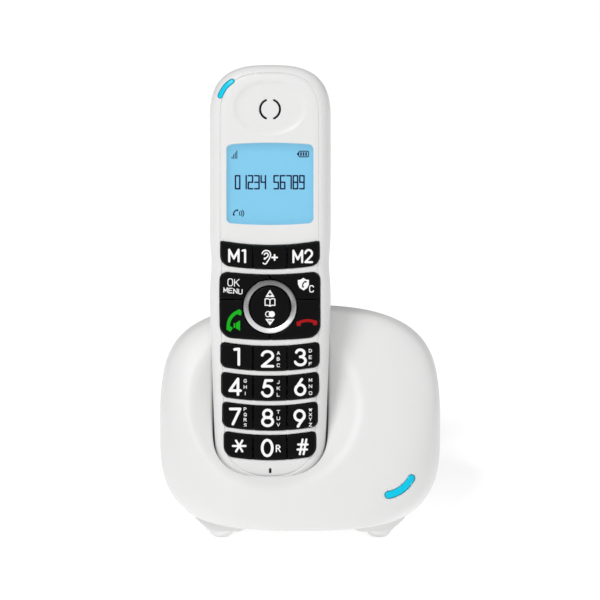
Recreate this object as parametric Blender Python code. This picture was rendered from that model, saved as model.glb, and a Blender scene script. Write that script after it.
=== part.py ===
"""A big-button cordless telephone standing in its charging base.

Metres, +Z up, the front faces -Y, and the origin is on the table under the middle of the base.
Handset pieces are drawn in the handset's own frame: X across, Y along its length from the chin up,
and Z out of its face. That frame leans back in the base, and an empty carries it.
Run with: blender --background --python part.py
"""

import math

import bmesh
import bpy
from mathutils import Matrix, Vector

MM = 0.001

# ---- handset, in millimetres in the handset's frame. A power says how square a curve is ----
LENGTH = 177.3
HALF_WIDTH = 24.85
CHIN_HALF_WIDTH = 22.3
WAIST_DIP = 0.7
WAIST_Y = 96.0
FACE = 11.0
BACK = 13.5
CHIN_BACK = 11.8
FACE_POWER = 5.0
BACK_POWER = 3.4
TOP_ARCH = 22.8
TOP_POWER = 2.8
CHIN_ARCH = 24.0
CHIN_POWER = 2.3
END_POWER = 6.0
FRONT_WALL = 1.8
REAR_WALL = 1.5
SEAM = 0.15

# ---- how the handset stands in the base ----
LEAN_DEG = 18.0
HANDSET_ORIGIN = (-12.2, -21.2, 13.3)
SIDE_CLEARANCE = 0.7

# ---- base: driving dimensions, in millimetres in the world frame ----
BASE_HALF_WIDTH = 58.4
BASE_TOP = 82.0
BASE_WAIST_Z = 37.0
BASE_CROWN_POWERS = (3.3, 2.75)
BASE_LOW_POWERS = (3.7, 3.6)
BASE_PLAN_POWERS = (2.6, 3.8)
PLAN_POWER_ZS = (8.0, 45.0)
FRONT_FOOT_LINE = (-46.6, 8.0)
FRONT_TOP_LINE = (12.5, 80.0)
BACK_FOOT_LINE = (46.6, 8.0)
BACK_TOP_LINE = (26.0, 80.0)
FRONT_BULGE = 2.0
BASE_WALL = 2.0
BASE_SEAM_Z = 7.5
PAN_EDGE = ((3.2, 8.0), (4.4, 5.8), (5.8, 3.5), (7.2, 1.5))
PAN_HOLLOW = ((5.2, 6.6), (6.2, 5.0), (7.2, 3.5), (9.0, 3.2))
PAN_CLIP_Z, PAN_CLIP_INSET = 7.2, 1.2
FOOT_X, FRONT_FOOT_Y, REAR_FOOT_Y = 32.2, -28.5, 27.0
FOOT_PROFILE = ((0.5, 4.2), (1.2, 4.7), (2.2, 5.3), (3.4, 6.8), (4.4, 9.2), (5.2, 12.4))
FOOT_PAD_RADIUS = 3.0

# ---- keys ----
KEY_FLOOR, KEY_TOP = 5.3, 11.7
KEY_GAP = 0.35
COLUMN_HALF = 6.9
ROW_SAG = 1.75
ROW_HEIGHT, MEMORY_ROW_HEIGHT = 9.45, 9.1
NUMBER_ROWS = ((57.8, 19.8, "123"), (45.65, 19.55, "456"), (33.55, 19.1, "789"), (21.55, 18.45, "*0#"))
KEY_NAMES = {"*": "key_star", "#": "key_hash"}
MEMORY_ROW_Y, MEMORY_ROW_HALF = 99.0, 19.85
PAD_Y, PAD_HALF_WIDTH, PAD_HALF_HEIGHT = 78.5, 20.1, 12.95
PAD_SPLIT_Y = 81.2
NAV_Y = 78.2
RING_OUTER, RING_INNER, NAV_RADIUS = 10.8, 8.55, 8.2
NAV_AXIS_Z = 9.0

# ---- display and earpiece ----
WINDOW_Y, WINDOW_HALF_WIDTH, WINDOW_HALF_HEIGHT, WINDOW_BOW = 128.2, 17.65, 16.7, 0.8
EAR_Y, EAR_DISH_Y, EAR_RADII, EAR_DEPTH = 158.6, 159.2, (15.0, 11.2), 1.6

# ---- battery bay ----
BAY_LOW, BAY_HIGH, DOOR_HALF = 82.0, 138.0, 15.0
TRAY_HALF, TRAY_LOW, TRAY_HIGH, TRAY_TOP, TRAY_WALL = 11.4, 84.4, 135.6, -1.0, 1.2
DOOR_INSIDE_Z, DOOR_GAP = -11.95, 0.3
CELL_RADIUS, CELL_LENGTH, CELL_X, CELL_Z, CELL_LOW = 5.2, 44.5, 5.6, -6.5, 88.4

# ---- screws, and the far side of a cutter that runs right through ----
SCREW_HOLE_RADIUS, SHANK_RADIUS = 1.15, 0.85
FRONT_BOSS_RADIUS, REAR_BOSS_RADIUS, BASE_BOSS_RADIUS = 2.3, 3.2, 2.8
HEAD_RECESS_RADIUS, BASE_HEAD_RECESS_RADIUS = 2.4, 2.6
FAR = 40.0

WHITE, KEY_BLACK, SILVER = (0.86, 0.86, 0.86), (0.01, 0.01, 0.011), (0.72, 0.72, 0.73)
CYAN, LCD_BLUE, STEEL = (0.0, 0.62, 0.84), (0.21, 0.55, 0.80), (0.55, 0.56, 0.58)
GOLD, BOARD_GREEN, RUBBER_GREY = (0.83, 0.62, 0.25), (0.02, 0.16, 0.06), (0.5, 0.5, 0.5)


# ---------------------------------------------------------------- scene and materials
def clear_scene():
    for obj in list(bpy.data.objects):
        bpy.data.objects.remove(obj)


def new_collection(name):
    made = bpy.data.collections.new(name)
    bpy.context.scene.collection.children.link(made)
    return made


def make_material(name, colour, roughness, metallic=0.0):
    made = bpy.data.materials.new(name)
    made.use_nodes = True
    shader = made.node_tree.nodes["Principled BSDF"]
    shader.inputs["Base Color"].default_value = (*colour, 1.0)
    shader.inputs["Roughness"].default_value = roughness
    shader.inputs["Metallic"].default_value = metallic
    return made


clear_scene()
PARTS = new_collection("cordless_phone")
CUTTERS = new_collection("cutters")
MATERIALS = {
    "casing": make_material("casing", WHITE, 0.45),
    "keys": make_material("keys", KEY_BLACK, 0.5),
    "silver": make_material("silver", SILVER, 0.25, 1.0),
    "indicator": make_material("indicator", CYAN, 0.3),
    "lens": make_material("lens", LCD_BLUE, 0.1),
    "lcd": make_material("lcd", LCD_BLUE, 0.3),
    "steel": make_material("steel", STEEL, 0.35, 1.0),
    "gold": make_material("gold", GOLD, 0.3, 1.0),
    "board": make_material("board", BOARD_GREEN, 0.5),
    "dark": make_material("dark", (0.03, 0.03, 0.03), 0.6),
    "cell": make_material("cell", (0.10, 0.28, 0.14), 0.35),
    "foot": make_material("foot", RUBBER_GREY, 0.8),
}


def make_frame(name, origin, rotation_deg):
    frame = bpy.data.objects.new(name, None)
    frame.location = Vector(origin) * MM
    frame.rotation_euler = [math.radians(a) for a in rotation_deg]
    CUTTERS.objects.link(frame)
    return frame


HANDSET = make_frame("handset_frame", HANDSET_ORIGIN, (90.0 - LEAN_DEG, 0, 0))
WORLD = make_frame("base_frame", (0, 0, 0), (0, 0, 0))


# ---------------------------------------------------------------- making and placing solids
def place(name, bm, frame, material=None, origin=(0, 0, 0)):
    """An object in a frame, from a mesh in millimetres. No material makes it a cutter."""
    bmesh.ops.recalc_face_normals(bm, faces=bm.faces)
    bm.transform(Matrix.Scale(MM, 4) @ Matrix.Translation(-Vector(origin)))
    mesh = bpy.data.meshes.new(name)
    bm.to_mesh(mesh)
    bm.free()
    obj = bpy.data.objects.new(name, mesh)
    obj.parent = frame
    obj.location = Vector(origin) * MM
    if material is None:
        CUTTERS.objects.link(obj)
        obj.hide_render = True
        obj.display_type = "WIRE"
    else:
        PARTS.objects.link(obj)
        mesh.materials.append(MATERIALS[material])
        mesh.shade_smooth()
        mesh.set_sharp_from_angle(angle=math.radians(35))
    return obj


def boolean(obj, operation, *others):
    for other in others:
        modifier = obj.modifiers.new(operation.lower(), "BOOLEAN")
        modifier.operation = operation
        modifier.object = other
    return obj


def cut(obj, *cutters):
    return boolean(obj, "DIFFERENCE", *cutters)


def box(low, high):
    bm = bmesh.new()
    bmesh.ops.create_cube(bm, size=1.0)
    low, high = Vector(low), Vector(high)
    size = high - low
    bm.transform(Matrix.Translation((low + high) / 2) @ Matrix.Diagonal((*size, 1.0)))
    return bm


def cylinder(centre, radius, low, high, along="Z", segments=16, top_radius=None):
    """A cylinder or cone from low to high along Y or Z. centre gives the other two coordinates."""
    bm = bmesh.new()
    radii = {"radius1": radius, "radius2": radius if top_radius is None else top_radius}
    bmesh.ops.create_cone(bm, cap_ends=True, segments=segments, depth=high - low, **radii)
    bm.transform(Matrix.Translation((0, 0, (low + high) / 2)))
    if along == "Z":
        bm.transform(Matrix.Translation((centre[0], centre[1], 0)))
    else:
        bm.transform(Matrix.Rotation(math.radians(-90), 4, "X"))
        bm.transform(Matrix.Translation((centre[0], 0, centre[1])))
    return bm


def plate(outline, low, high):
    """A flat outline in X and Y, filled and extruded along Z from low to high."""
    curve = bpy.data.curves.new("outline", "CURVE")
    curve.dimensions = "2D"
    curve.fill_mode = "BOTH"
    curve.extrude = (high - low) / 2
    spline = curve.splines.new("POLY")
    spline.points.add(len(outline) - 1)
    for point, (x, y) in zip(spline.points, outline):
        point.co = (x, y, 0, 1)
    spline.use_cyclic_u = True
    drawn = bpy.data.objects.new("outline", curve)
    CUTTERS.objects.link(drawn)
    mesh = bpy.data.meshes.new_from_object(drawn.evaluated_get(bpy.context.evaluated_depsgraph_get()))
    bm = bmesh.new()
    bm.from_mesh(mesh)
    bmesh.ops.remove_doubles(bm, verts=bm.verts, dist=0.001)
    bm.transform(Matrix.Translation((0, 0, (low + high) / 2)))
    bpy.data.objects.remove(drawn)
    bpy.data.curves.remove(curve)
    bpy.data.meshes.remove(mesh)
    return bm


def key_block(outline, low, high, bevel=0.5):
    """A key: an extruded outline with a bevelled top edge."""
    bm = plate(outline, low, high)
    bmesh.ops.dissolve_limit(bm, angle_limit=0.01, verts=bm.verts, edges=bm.edges)
    rim = [e for e in bm.edges if all(v.co.z > high - 0.01 for v in e.verts)]
    bmesh.ops.bevel(bm, geom=rim, offset=bevel, segments=1, profile=0.5, affect="EDGES")
    return bm


def loft(rings):
    """A closed solid through rings of points, which all have the same count."""
    bm = bmesh.new()
    rows = [[bm.verts.new(p) for p in ring] for ring in rings]
    for low, high in zip(rows, rows[1:]):
        for i in range(len(low)):
            j = (i + 1) % len(low)
            bm.faces.new((low[i], low[j], high[j], high[i]))
    bm.faces.new(rows[0][::-1])
    bm.faces.new(rows[-1])
    return bm


def arc(centre, radius, start_deg, end_deg, count):
    """Points along an arc, both ends included."""
    angles = [math.radians(start_deg + (end_deg - start_deg) * i / (count - 1)) for i in range(count)]
    return [(centre[0] + radius * math.cos(a), centre[1] + radius * math.sin(a)) for a in angles]


def arc_bar(centre, radius, start_deg, end_deg, width, count=7):
    """A curved bar with round ends, following an arc."""
    half = width / 2
    start = arc(centre, radius, start_deg, start_deg, 2)[0]
    end = arc(centre, radius, end_deg, end_deg, 2)[0]
    outer = arc(centre, radius + half, start_deg, end_deg, count)
    inner = arc(centre, radius - half, end_deg, start_deg, count)
    end_cap = arc(end, half, end_deg, end_deg + 180, 5)[1:-1]
    start_cap = arc(start, half, start_deg + 180, start_deg + 360, 5)[1:-1]
    return outer + end_cap + inner + start_cap


def signed_power(value, power):
    return math.copysign(abs(value) ** power, value)


def fall(share, power, root=None):
    """How much of its width a rounded end keeps, at this share of the way to its tip."""
    return (1 - min(1.0, abs(share)) ** power) ** (1 / (root or power))


# ---------------------------------------------------------------- handset body
def handset_width(y):
    """Half width of the handset without its rounded ends: a slight taper, with a waist above the keys."""
    rise = min(1.0, max(0.0, (y - 10) / 70))
    width = CHIN_HALF_WIDTH + (HALF_WIDTH - CHIN_HALF_WIDTH) * rise
    return width - WAIST_DIP * math.exp(-(((y - WAIST_Y) / 7.0) ** 2))


def handset_back(y):
    rise = min(1.0, max(0.0, (y - 20) / 35))
    return CHIN_BACK + (BACK - CHIN_BACK) * rise


def handset_ring(y, inset, segments):
    """One cross-section of the handset, drawn in by inset. A negative inset leaves room around it."""
    half, face, back = handset_width(y) - inset, FACE - inset, handset_back(y) - inset
    top, low = LENGTH - inset, inset
    chin_centre, top_centre = CHIN_ARCH, LENGTH - TOP_ARCH
    if y < chin_centre:
        share = (chin_centre - y) / (chin_centre - low)
        half *= fall(share, CHIN_POWER)
        face, back = face * fall(share, END_POWER), back * fall(share, END_POWER)
    if y > top_centre:
        share = (y - top_centre) / (top - top_centre)
        half *= fall(share, TOP_POWER)
        face, back = face * fall(share, END_POWER), back * fall(share, END_POWER)
    ring = []
    for i in range(segments):
        c, s = math.cos(math.tau * i / segments), math.sin(math.tau * i / segments)
        power = FACE_POWER if s >= 0 else BACK_POWER
        depth = face if s >= 0 else back
        ring.append((half * signed_power(c, 2 / power), y, depth * signed_power(s, 2 / power)))
    return ring


CHIN_SHARES = (0.995, 0.96, 0.88, 0.74, 0.52, 0.25)
TOP_SHARES = (0.3, 0.6, 0.8, 0.91, 0.97, 0.995)
MIDDLE_YS = (24, 42, 58, 80, 89, 96, 103, 112, 150)
WIDEST_Y = 80


def handset_body(inset, segments=24, top_y=None):
    """The whole handset as one solid, drawn in by inset. With top_y, it runs straight up to that height."""
    low, top = inset, LENGTH - inset
    ys = [CHIN_ARCH - s * (CHIN_ARCH - low) for s in CHIN_SHARES] + list(MIDDLE_YS)
    ys += [LENGTH - TOP_ARCH + s * (top - LENGTH + TOP_ARCH) for s in TOP_SHARES]
    if top_y is not None:
        ys = [y for y in ys if y <= WIDEST_Y]
    rings = [handset_ring(y, inset, segments) for y in ys]
    if top_y is not None:
        rings.append([(x, top_y, z) for x, _, z in rings[-1]])
    return loft(rings)


def row_outline(x_low, x_high, row_half, centre_y, height, low_radius, high_radius, sag=ROW_SAG):
    """The outline of a key in a row that sags in the middle. Only the row's own ends are rounded."""

    def edge(x, side):
        return centre_y + side * height / 2 + sag * ((x / row_half) ** 2 - 0.35)

    def corner(x, side_x, side_y, radius):
        if radius < 0.2:
            return [(x, edge(x, side_y))]
        centre = (x - side_x * radius, edge(x - side_x * radius, side_y) - side_y * radius)
        start = {(1, 1): 0, (-1, 1): 90, (-1, -1): 180, (1, -1): 270}[(side_x, side_y)]
        return arc(centre, radius, start, start + 90, 4)

    at_left, at_right = abs(x_low + row_half) < 0.01, abs(x_high - row_half) < 0.01
    middle = (x_low + x_high) / 2
    return (
        corner(x_high, 1, 1, high_radius if at_right else 0)
        + [(middle, edge(middle, 1))]
        + corner(x_low, -1, 1, high_radius if at_left else 0)
        + corner(x_low, -1, -1, low_radius if at_left else 0)
        + [(middle, edge(middle, -1))]
        + corner(x_high, 1, -1, low_radius if at_right else 0)
    )


def grown(outline, by):
    """An outline moved outwards by the same amount all round its middle."""
    n = len(outline)
    made = []
    for i in range(n):
        before, here, after = Vector(outline[i - 1]), Vector(outline[i]), Vector(outline[(i + 1) % n])
        along_in, along_out = (here - before).normalized(), (after - here).normalized()
        normal = Vector((along_in.y, -along_in.x)) + Vector((along_out.y, -along_out.x))
        if normal.length < 1e-6:
            continue
        normal.normalize()
        stretch = max(0.5, normal.dot(Vector((along_in.y, -along_in.x))))
        made.append(tuple(here + normal * by / stretch))
    return made


# ---------------------------------------------------------------- base body
def along_line(line_low, line_high, z):
    return line_low[0] + (line_high[0] - line_low[0]) * (z - line_low[1]) / (line_high[1] - line_low[1])


def plan_power(z):
    """How square the base is in plan: rounder at its foot."""
    low, high = PLAN_POWER_ZS
    share = min(1.0, max(0.0, (z - low) / (high - low)))
    return BASE_PLAN_POWERS[0] + (BASE_PLAN_POWERS[1] - BASE_PLAN_POWERS[0]) * share


def base_ring(z, inset, segments):
    """One level section of the base, drawn in by inset."""
    if z > BASE_WAIST_Z:
        share = (z - BASE_WAIST_Z) / (BASE_TOP - inset - BASE_WAIST_Z)
        powers, depth_power = BASE_CROWN_POWERS, 8.0
    else:
        share = (BASE_WAIST_Z - z) / (BASE_WAIST_Z - min(inset, 1.0) * 0.5)
        powers, depth_power = BASE_LOW_POWERS, 5.0
    half = (BASE_HALF_WIDTH - inset) * fall(share, *powers)
    bulge = FRONT_BULGE * math.sin(math.pi * min(1.0, max(0.0, (z - 8) / 72)))
    front = along_line(FRONT_FOOT_LINE, FRONT_TOP_LINE, z) - bulge + 1.3 * inset
    back = along_line(BACK_FOOT_LINE, BACK_TOP_LINE, z) - 1.04 * inset
    middle, depth = (front + back) / 2, (back - front) / 2 * fall(share, depth_power)
    ring = []
    for i in range(segments):
        c, s = math.cos(math.tau * i / segments), math.sin(math.tau * i / segments)
        power = 2 / plan_power(z)
        ring.append((half * signed_power(c, power), middle + depth * signed_power(s, power), z))
    return ring


TOP_COVER_ZS = (7.5, 10, 14, 20, 28, 38, 48, 58, 66, 72, 76, 79, 80.9, 81.8)


def base_body(inset, low_z, zs, segments=36):
    return loft([base_ring(z, inset, segments) for z in [low_z] + [z for z in zs if z > low_z + 0.5]])


def sphere(centre, radius, segments=24):
    bm = bmesh.new()
    bmesh.ops.create_uvsphere(bm, u_segments=segments, v_segments=segments // 2, radius=radius)
    bm.transform(Matrix.Translation(centre))
    return bm


SCOOP_Y, SCOOP_RIM, SCOOP_DEPTH = 37.6, 34.0, 7.5
SCOOP_RADIUS = (SCOOP_RIM**2 + SCOOP_DEPTH**2) / (2 * SCOOP_DEPTH)
SURFACE_TILT_DEG = 21.8
SURFACE_AT_SCOOP = 2.75
SCOOP_CAP = 24.0


def scoop(extra):
    """The shallow round dish around the cradle's mouth, as a ball that dips into the sloping front."""
    tilt = math.radians(SURFACE_TILT_DEG)
    outwards = Vector((0, math.sin(tilt), math.cos(tilt)))
    middle = Vector((0, SCOOP_Y, SURFACE_AT_SCOOP))
    bm = sphere(middle + outwards * (SCOOP_RADIUS - SCOOP_DEPTH), SCOOP_RADIUS + extra, 64)
    everything = bm.verts[:] + bm.edges[:] + bm.faces[:]
    top = middle + outwards * SCOOP_CAP
    bmesh.ops.bisect_plane(bm, geom=everything, plane_co=top, plane_no=outwards, clear_outer=True)
    bmesh.ops.contextual_create(bm, geom=[e for e in bm.edges if e.is_boundary])
    return bm


# ---------------------------------------------------------------- handset covers
def ear_dish(extra):
    """The shallow oval dish round the earpiece, as a squashed ball above the face."""
    high = (EAR_RADII[0] ** 2 + EAR_DEPTH**2) / (2 * EAR_DEPTH)
    bm = sphere((0, 0, 0), high + extra, 40)
    bm.transform(Matrix.Diagonal((1, EAR_RADII[1] / EAR_RADII[0], 1, 1)))
    bm.transform(Matrix.Translation((0, EAR_DISH_Y, FACE + high - EAR_DEPTH)))
    far = [v for v in bm.verts if v.co.z > FACE + 12]
    bmesh.ops.delete(bm, geom=far, context="VERTS")
    bmesh.ops.contextual_create(bm, geom=[e for e in bm.edges if e.is_boundary])
    return bm


SCREW_X, SCREW_Y = 17.5, 107.4
HANDSET_LIGHT = arc_bar((-9.9, 160.6), 10.9, 121, 162, 1.9)
EAR_SLOTS = [arc_bar((0, EAR_Y), 4.05, side - 66, side + 66, 0.85) for side in (0, 180)]


def window_outline():
    """The display's outline: its top and bottom edges both bow outwards."""
    half, tall, bow, radius = WINDOW_HALF_WIDTH, WINDOW_HALF_HEIGHT, WINDOW_BOW, 1.8
    made = []
    for side_x, side_y, start in ((1, 1, 0), (-1, 1, 90), (-1, -1, 180), (1, -1, 270)):
        centre = (side_x * (half - radius), WINDOW_Y + side_y * (tall - bow - radius))
        made += arc(centre, radius, start, start + 90, 5)
        if start in (0, 180):
            xs = [side_x * half * f for f in (0.6, 0.3, 0.0, -0.3, -0.6)]
            made += [(x, WINDOW_Y + side_y * (tall - bow * (x / half) ** 2)) for x in xs]
    return made


def pad_outline():
    """The block of four keys round the rocker."""
    half = PAD_HALF_WIDTH
    height = 2 * PAD_HALF_HEIGHT
    return row_outline(-half, half, half, PAD_Y, height, low_radius=4.4, high_radius=3.2, sag=1.35)


def row_of_keys():
    """Every row as (key names, centre, half width, height, lower radius, upper radius)."""
    memory_keys = ["memory_key_1", "boost_key", "memory_key_2"]
    rows = [(memory_keys, MEMORY_ROW_Y, MEMORY_ROW_HALF, MEMORY_ROW_HEIGHT, 3.2, 0.6)]
    for y, half, labels in NUMBER_ROWS:
        low_radius = 3.4 if labels == "*0#" else 2.0
        rows.append(([KEY_NAMES.get(c, "key_" + c) for c in labels], y, half, ROW_HEIGHT, low_radius, 1.7))
    return rows


def make_front_cover():
    cavity = place("front_cavity", handset_body(FRONT_WALL, 20), HANDSET)
    cut(cavity, place("ear_wall", ear_dish(FRONT_WALL), HANDSET))
    for side in (-1, 1):
        boss = cylinder((side * SCREW_X, SCREW_Y), FRONT_BOSS_RADIUS, 0.3, 12, segments=12)
        cut(cavity, place("front_boss", boss, HANDSET))
    cover = place("handset_front_cover", handset_body(0.0), HANDSET, "casing")
    cut(cover, place("rear_half", box((-FAR, -FAR, -FAR), (FAR, LENGTH + FAR, SEAM)), HANDSET))
    cut(cover, cavity, place("ear_dish", ear_dish(0.0), HANDSET))
    cut(cover, place("window_hole", plate(window_outline(), 4, 14), HANDSET))
    for _, y, half, height, low_radius, high_radius in row_of_keys():
        outline = row_outline(-half, half, half, y, height, low_radius, high_radius)
        cut(cover, place("row_hole", plate(grown(outline, KEY_GAP), 3, 14), HANDSET))
    cut(cover, place("pad_hole", plate(grown(pad_outline(), KEY_GAP), 3, 14), HANDSET))
    for slot in EAR_SLOTS:
        cut(cover, place("ear_slot", plate(slot, 4, 14), HANDSET))
    cut(cover, place("mic_hole", box((-0.4, 10.4, 5), (0.4, 12.4, 14)), HANDSET))
    cut(cover, place("front_light_hole", plate(grown(HANDSET_LIGHT, 0.3), 1, 14), HANDSET))
    for side in (-1, 1):
        hole = cylinder((side * SCREW_X, SCREW_Y), SCREW_HOLE_RADIUS, -1, 7, segments=8)
        cut(cover, place("front_screw_hole", hole, HANDSET))


def make_handset_light():
    """The indicator window in the handset's shoulder: a plug of the cover's own wall."""
    light = place("handset_indicator", plate(HANDSET_LIGHT, 1.5, 13), HANDSET, "indicator")
    shape = place("light_shape", handset_body(-0.1), HANDSET)
    boolean(light, "INTERSECT", shape)
    cut(light, place("light_cavity", handset_body(FRONT_WALL), HANDSET))


SPEAKER_Y, SPEAKER_RADIUS = 156.0, 9.5
PAD_X, PAD_LOW, PAD_Z = 7.5, 2.0, -3.0


def make_rear_cover():
    cavity = place("rear_cavity", handset_body(REAR_WALL, 20), HANDSET)
    tray_half = TRAY_HALF + TRAY_WALL
    tray = box((-tray_half, TRAY_LOW - TRAY_WALL, -FAR), (tray_half, TRAY_HIGH + TRAY_WALL, TRAY_TOP + 0.9))
    cut(cavity, place("tray_walls", tray, HANDSET))
    for side in (-1, 1):
        boss = cylinder((side * SCREW_X, SCREW_Y), REAR_BOSS_RADIUS, -FAR, -0.6, segments=12)
        cut(cavity, place("rear_boss", boss, HANDSET))
    cover = place("handset_rear_cover", handset_body(0.0), HANDSET, "casing")
    cut(cover, place("front_half", box((-FAR, -FAR, -SEAM), (FAR, LENGTH + FAR, FAR)), HANDSET), cavity)
    bay = box((-TRAY_HALF, TRAY_LOW, -FAR), (TRAY_HALF, TRAY_HIGH, TRAY_TOP))
    cut(cover, place("bay_hole", bay, HANDSET))
    recess = box((-DOOR_HALF, BAY_LOW, -FAR), (DOOR_HALF, BAY_HIGH, DOOR_INSIDE_Z + 0.25))
    cut(cover, place("door_recess", recess, HANDSET))
    for side in (-1, 1):
        head = cylinder((side * SCREW_X, SCREW_Y), HEAD_RECESS_RADIUS, -FAR, -7.5, segments=12)
        cut(cover, place("head_recess", head, HANDSET))
        hole = cylinder((side * SCREW_X, SCREW_Y), SCREW_HOLE_RADIUS, -FAR, 2, segments=8)
        cut(cover, place("rear_screw_hole", hole, HANDSET))
        pad = box((side * PAD_X - 2.3, -3, PAD_Z - 2.3), (side * PAD_X + 2.3, 9, PAD_Z + 2.3))
        cut(cover, place("pad_slot", pad, HANDSET))
    for i in range(-2, 3):
        slot_half, slot_y = 7.5 - abs(i) * 1.3, SPEAKER_Y + 3.0 * i
        slot = box((-slot_half, slot_y - 0.6, -FAR), (slot_half, slot_y + 0.6, -9))
        cut(cover, place("speaker_slot", slot, HANDSET))


def make_battery_door():
    """Its origin is on the hinge line, at its lower edge on the outside."""
    hinge = (0, BAY_LOW + DOOR_GAP, -BACK)
    half = DOOR_HALF - DOOR_GAP
    block = box((-half, BAY_LOW + DOOR_GAP, -30), (half, BAY_HIGH - DOOR_GAP, -6))
    door = place("battery_door", block, HANDSET, "casing", hinge)
    boolean(door, "INTERSECT", place("door_shape", handset_body(0.0), HANDSET))
    inside = box((-FAR, 60, DOOR_INSIDE_Z), (FAR, 160, FAR))
    cut(door, place("door_inside", inside, HANDSET))


# ---------------------------------------------------------------- keys
def centre_of(outline, z):
    xs, ys = [p[0] for p in outline], [p[1] for p in outline]
    return ((min(xs) + max(xs)) / 2, (min(ys) + max(ys)) / 2, z)


def make_key_rows():
    for names, y, half, height, low_radius, high_radius in row_of_keys():
        edges = [-half, -COLUMN_HALF, COLUMN_HALF, half]
        for name, left, right in zip(names, edges, edges[1:]):
            left += KEY_GAP / 2 if left > -half else 0
            right -= KEY_GAP / 2 if right < half else 0
            outline = row_outline(left, right, half, y, height, low_radius, high_radius)
            key = key_block(outline, KEY_FLOOR, KEY_TOP)
            place(name, key, HANDSET, "keys", centre_of(outline, KEY_TOP))


def make_pad_keys():
    """Four keys share the block: each is the block cut back to its own quarter and round the ring."""
    gap = KEY_GAP / 2
    ring_hole = place("ring_hole", cylinder((0, NAV_Y), RING_OUTER + KEY_GAP, 0, 20, segments=24), HANDSET)
    upper, lower = (PAD_SPLIT_Y + gap, PAD_SPLIT_Y + FAR), (PAD_SPLIT_Y - FAR, PAD_SPLIT_Y - gap)
    quarters = {
        "menu_key": ((-FAR, -gap), upper, 87.0),
        "block_key": ((gap, FAR), upper, 87.0),
        "talk_key": ((-FAR, -gap), lower, 73.0),
        "end_key": ((gap, FAR), lower, 73.0),
    }
    for name, ((x0, x1), (y0, y1), centre_y) in quarters.items():
        centre = (math.copysign(PAD_HALF_WIDTH / 2, x0 + x1), centre_y, KEY_TOP)
        key = place(name, key_block(pad_outline(), KEY_FLOOR, KEY_TOP), HANDSET, "keys", centre)
        quarter = place(name + "_quarter", box((x0, y0, 0), (x1, y1, 20)), HANDSET)
        boolean(key, "INTERSECT", quarter)
        cut(key, ring_hole)


def make_rocker():
    ring = place("nav_ring", cylinder((0, NAV_Y), RING_OUTER, 4.3, 12.1, segments=28), HANDSET, "silver")
    cut(ring, place("ring_bore", cylinder((0, NAV_Y), RING_INNER, 0, 20, segments=28), HANDSET))
    rocker = cylinder((0, NAV_Y), NAV_RADIUS, KEY_FLOOR, KEY_TOP, segments=24)
    place("nav_key", rocker, HANDSET, "keys", (0, NAV_Y, NAV_AXIS_Z))


# ---------------------------------------------------------------- inside the handset
def make_handset_insides():
    lens_outline = grown(window_outline(), -0.3)
    place("display_window", plate(lens_outline, 8.9, 10.5), HANDSET, "lens", (0, WINDOW_Y, 8.9))
    place("lcd_panel", box((-18.9, 111.0, 5.9), (18.9, 145.6, 8.3)), HANDSET, "lcd")
    holder = place("lcd_holder", box((-19.5, 110.4, 2.4), (19.5, 146.2, 5.6)), HANDSET, "dark")
    cut(holder, place("holder_hollow", box((-17, 113, 3.4), (17, 143.5, 9)), HANDSET))
    place("ear_felt", cylinder((0, EAR_Y), 6.5, 6.2, 6.7), HANDSET, "dark")
    place("earpiece_receiver", cylinder((0, EAR_Y), 9.5, 1.2, 5.9, segments=20), HANDSET, "steel")
    loudspeaker = cylinder((0, SPEAKER_Y), SPEAKER_RADIUS, -11.4, -6.8, segments=20)
    place("loudspeaker", loudspeaker, HANDSET, "dark")
    place("microphone", cylinder((0, 11.6), 2.2, 6.4, 8.8, segments=12), HANDSET, "dark")
    board = place("handset_circuit_board", box((-18.8, 14.5, 0.4), (18.8, 146.5, 2.0)), HANDSET, "board")
    membrane = place("keypad_membrane", box((-19, 17, 2.4), (19, 103.4, 4.0)), HANDSET, "dark")
    for side in (-1, 1):
        hole = cylinder((side * SCREW_X, SCREW_Y), 2.7, -5, 5, segments=12)
        cut(board, place("board_hole", hole, HANDSET))
    cut(membrane, place("mat_window", box((-6, 74, 0), (6, 82, 9)), HANDSET))
    for name, side in (("battery_cell_left", -1), ("battery_cell_right", 1)):
        high = CELL_LOW + CELL_LENGTH
        can = cylinder((side * CELL_X, CELL_Z), CELL_RADIUS, CELL_LOW, high - 0.8, "Y", 20)
        cell = place(name, can, HANDSET, "cell", (side * CELL_X, CELL_LOW, CELL_Z))
        tip = cylinder((side * CELL_X, CELL_Z), 1.9, high - 2, high, "Y", 12)
        boolean(cell, "UNION", place(name + "_tip", tip, HANDSET))
    leaf = box((-10.8, 84.7, -11.2), (10.8, 85.2, -2.0))
    springs = place("battery_spring_contact", leaf, HANDSET, "steel")
    for side in (-1, 1):
        cone = cylinder((side * CELL_X, CELL_Z), 3.4, 85.0, 88.0, "Y", 12, 2.2)
        boolean(springs, "UNION", place("spring_cone", cone, HANDSET))
    place("battery_plate_contact", box((-10.8, 134.4, -11.2), (10.8, 134.9, -2.0)), HANDSET, "steel")
    for name, side in (("handset_charge_pad_left", -1), ("handset_charge_pad_right", 1)):
        x = side * PAD_X
        pad = box((x - 2.0, PAD_LOW, PAD_Z - 2.0), (x + 2.0, PAD_LOW + 1.2, PAD_Z + 2.0))
        place(name, pad, HANDSET, "gold")
    for name, side in (("handset_screw_left", -1), ("handset_screw_right", 1)):
        head = cylinder((side * SCREW_X, SCREW_Y), 2.0, -9.4, -7.8, segments=12)
        screw = place(name, head, HANDSET, "steel")
        shank = cylinder((side * SCREW_X, SCREW_Y), SHANK_RADIUS, -9, 5.5, segments=8)
        boolean(screw, "UNION", place(name + "_shank", shank, HANDSET))


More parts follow.
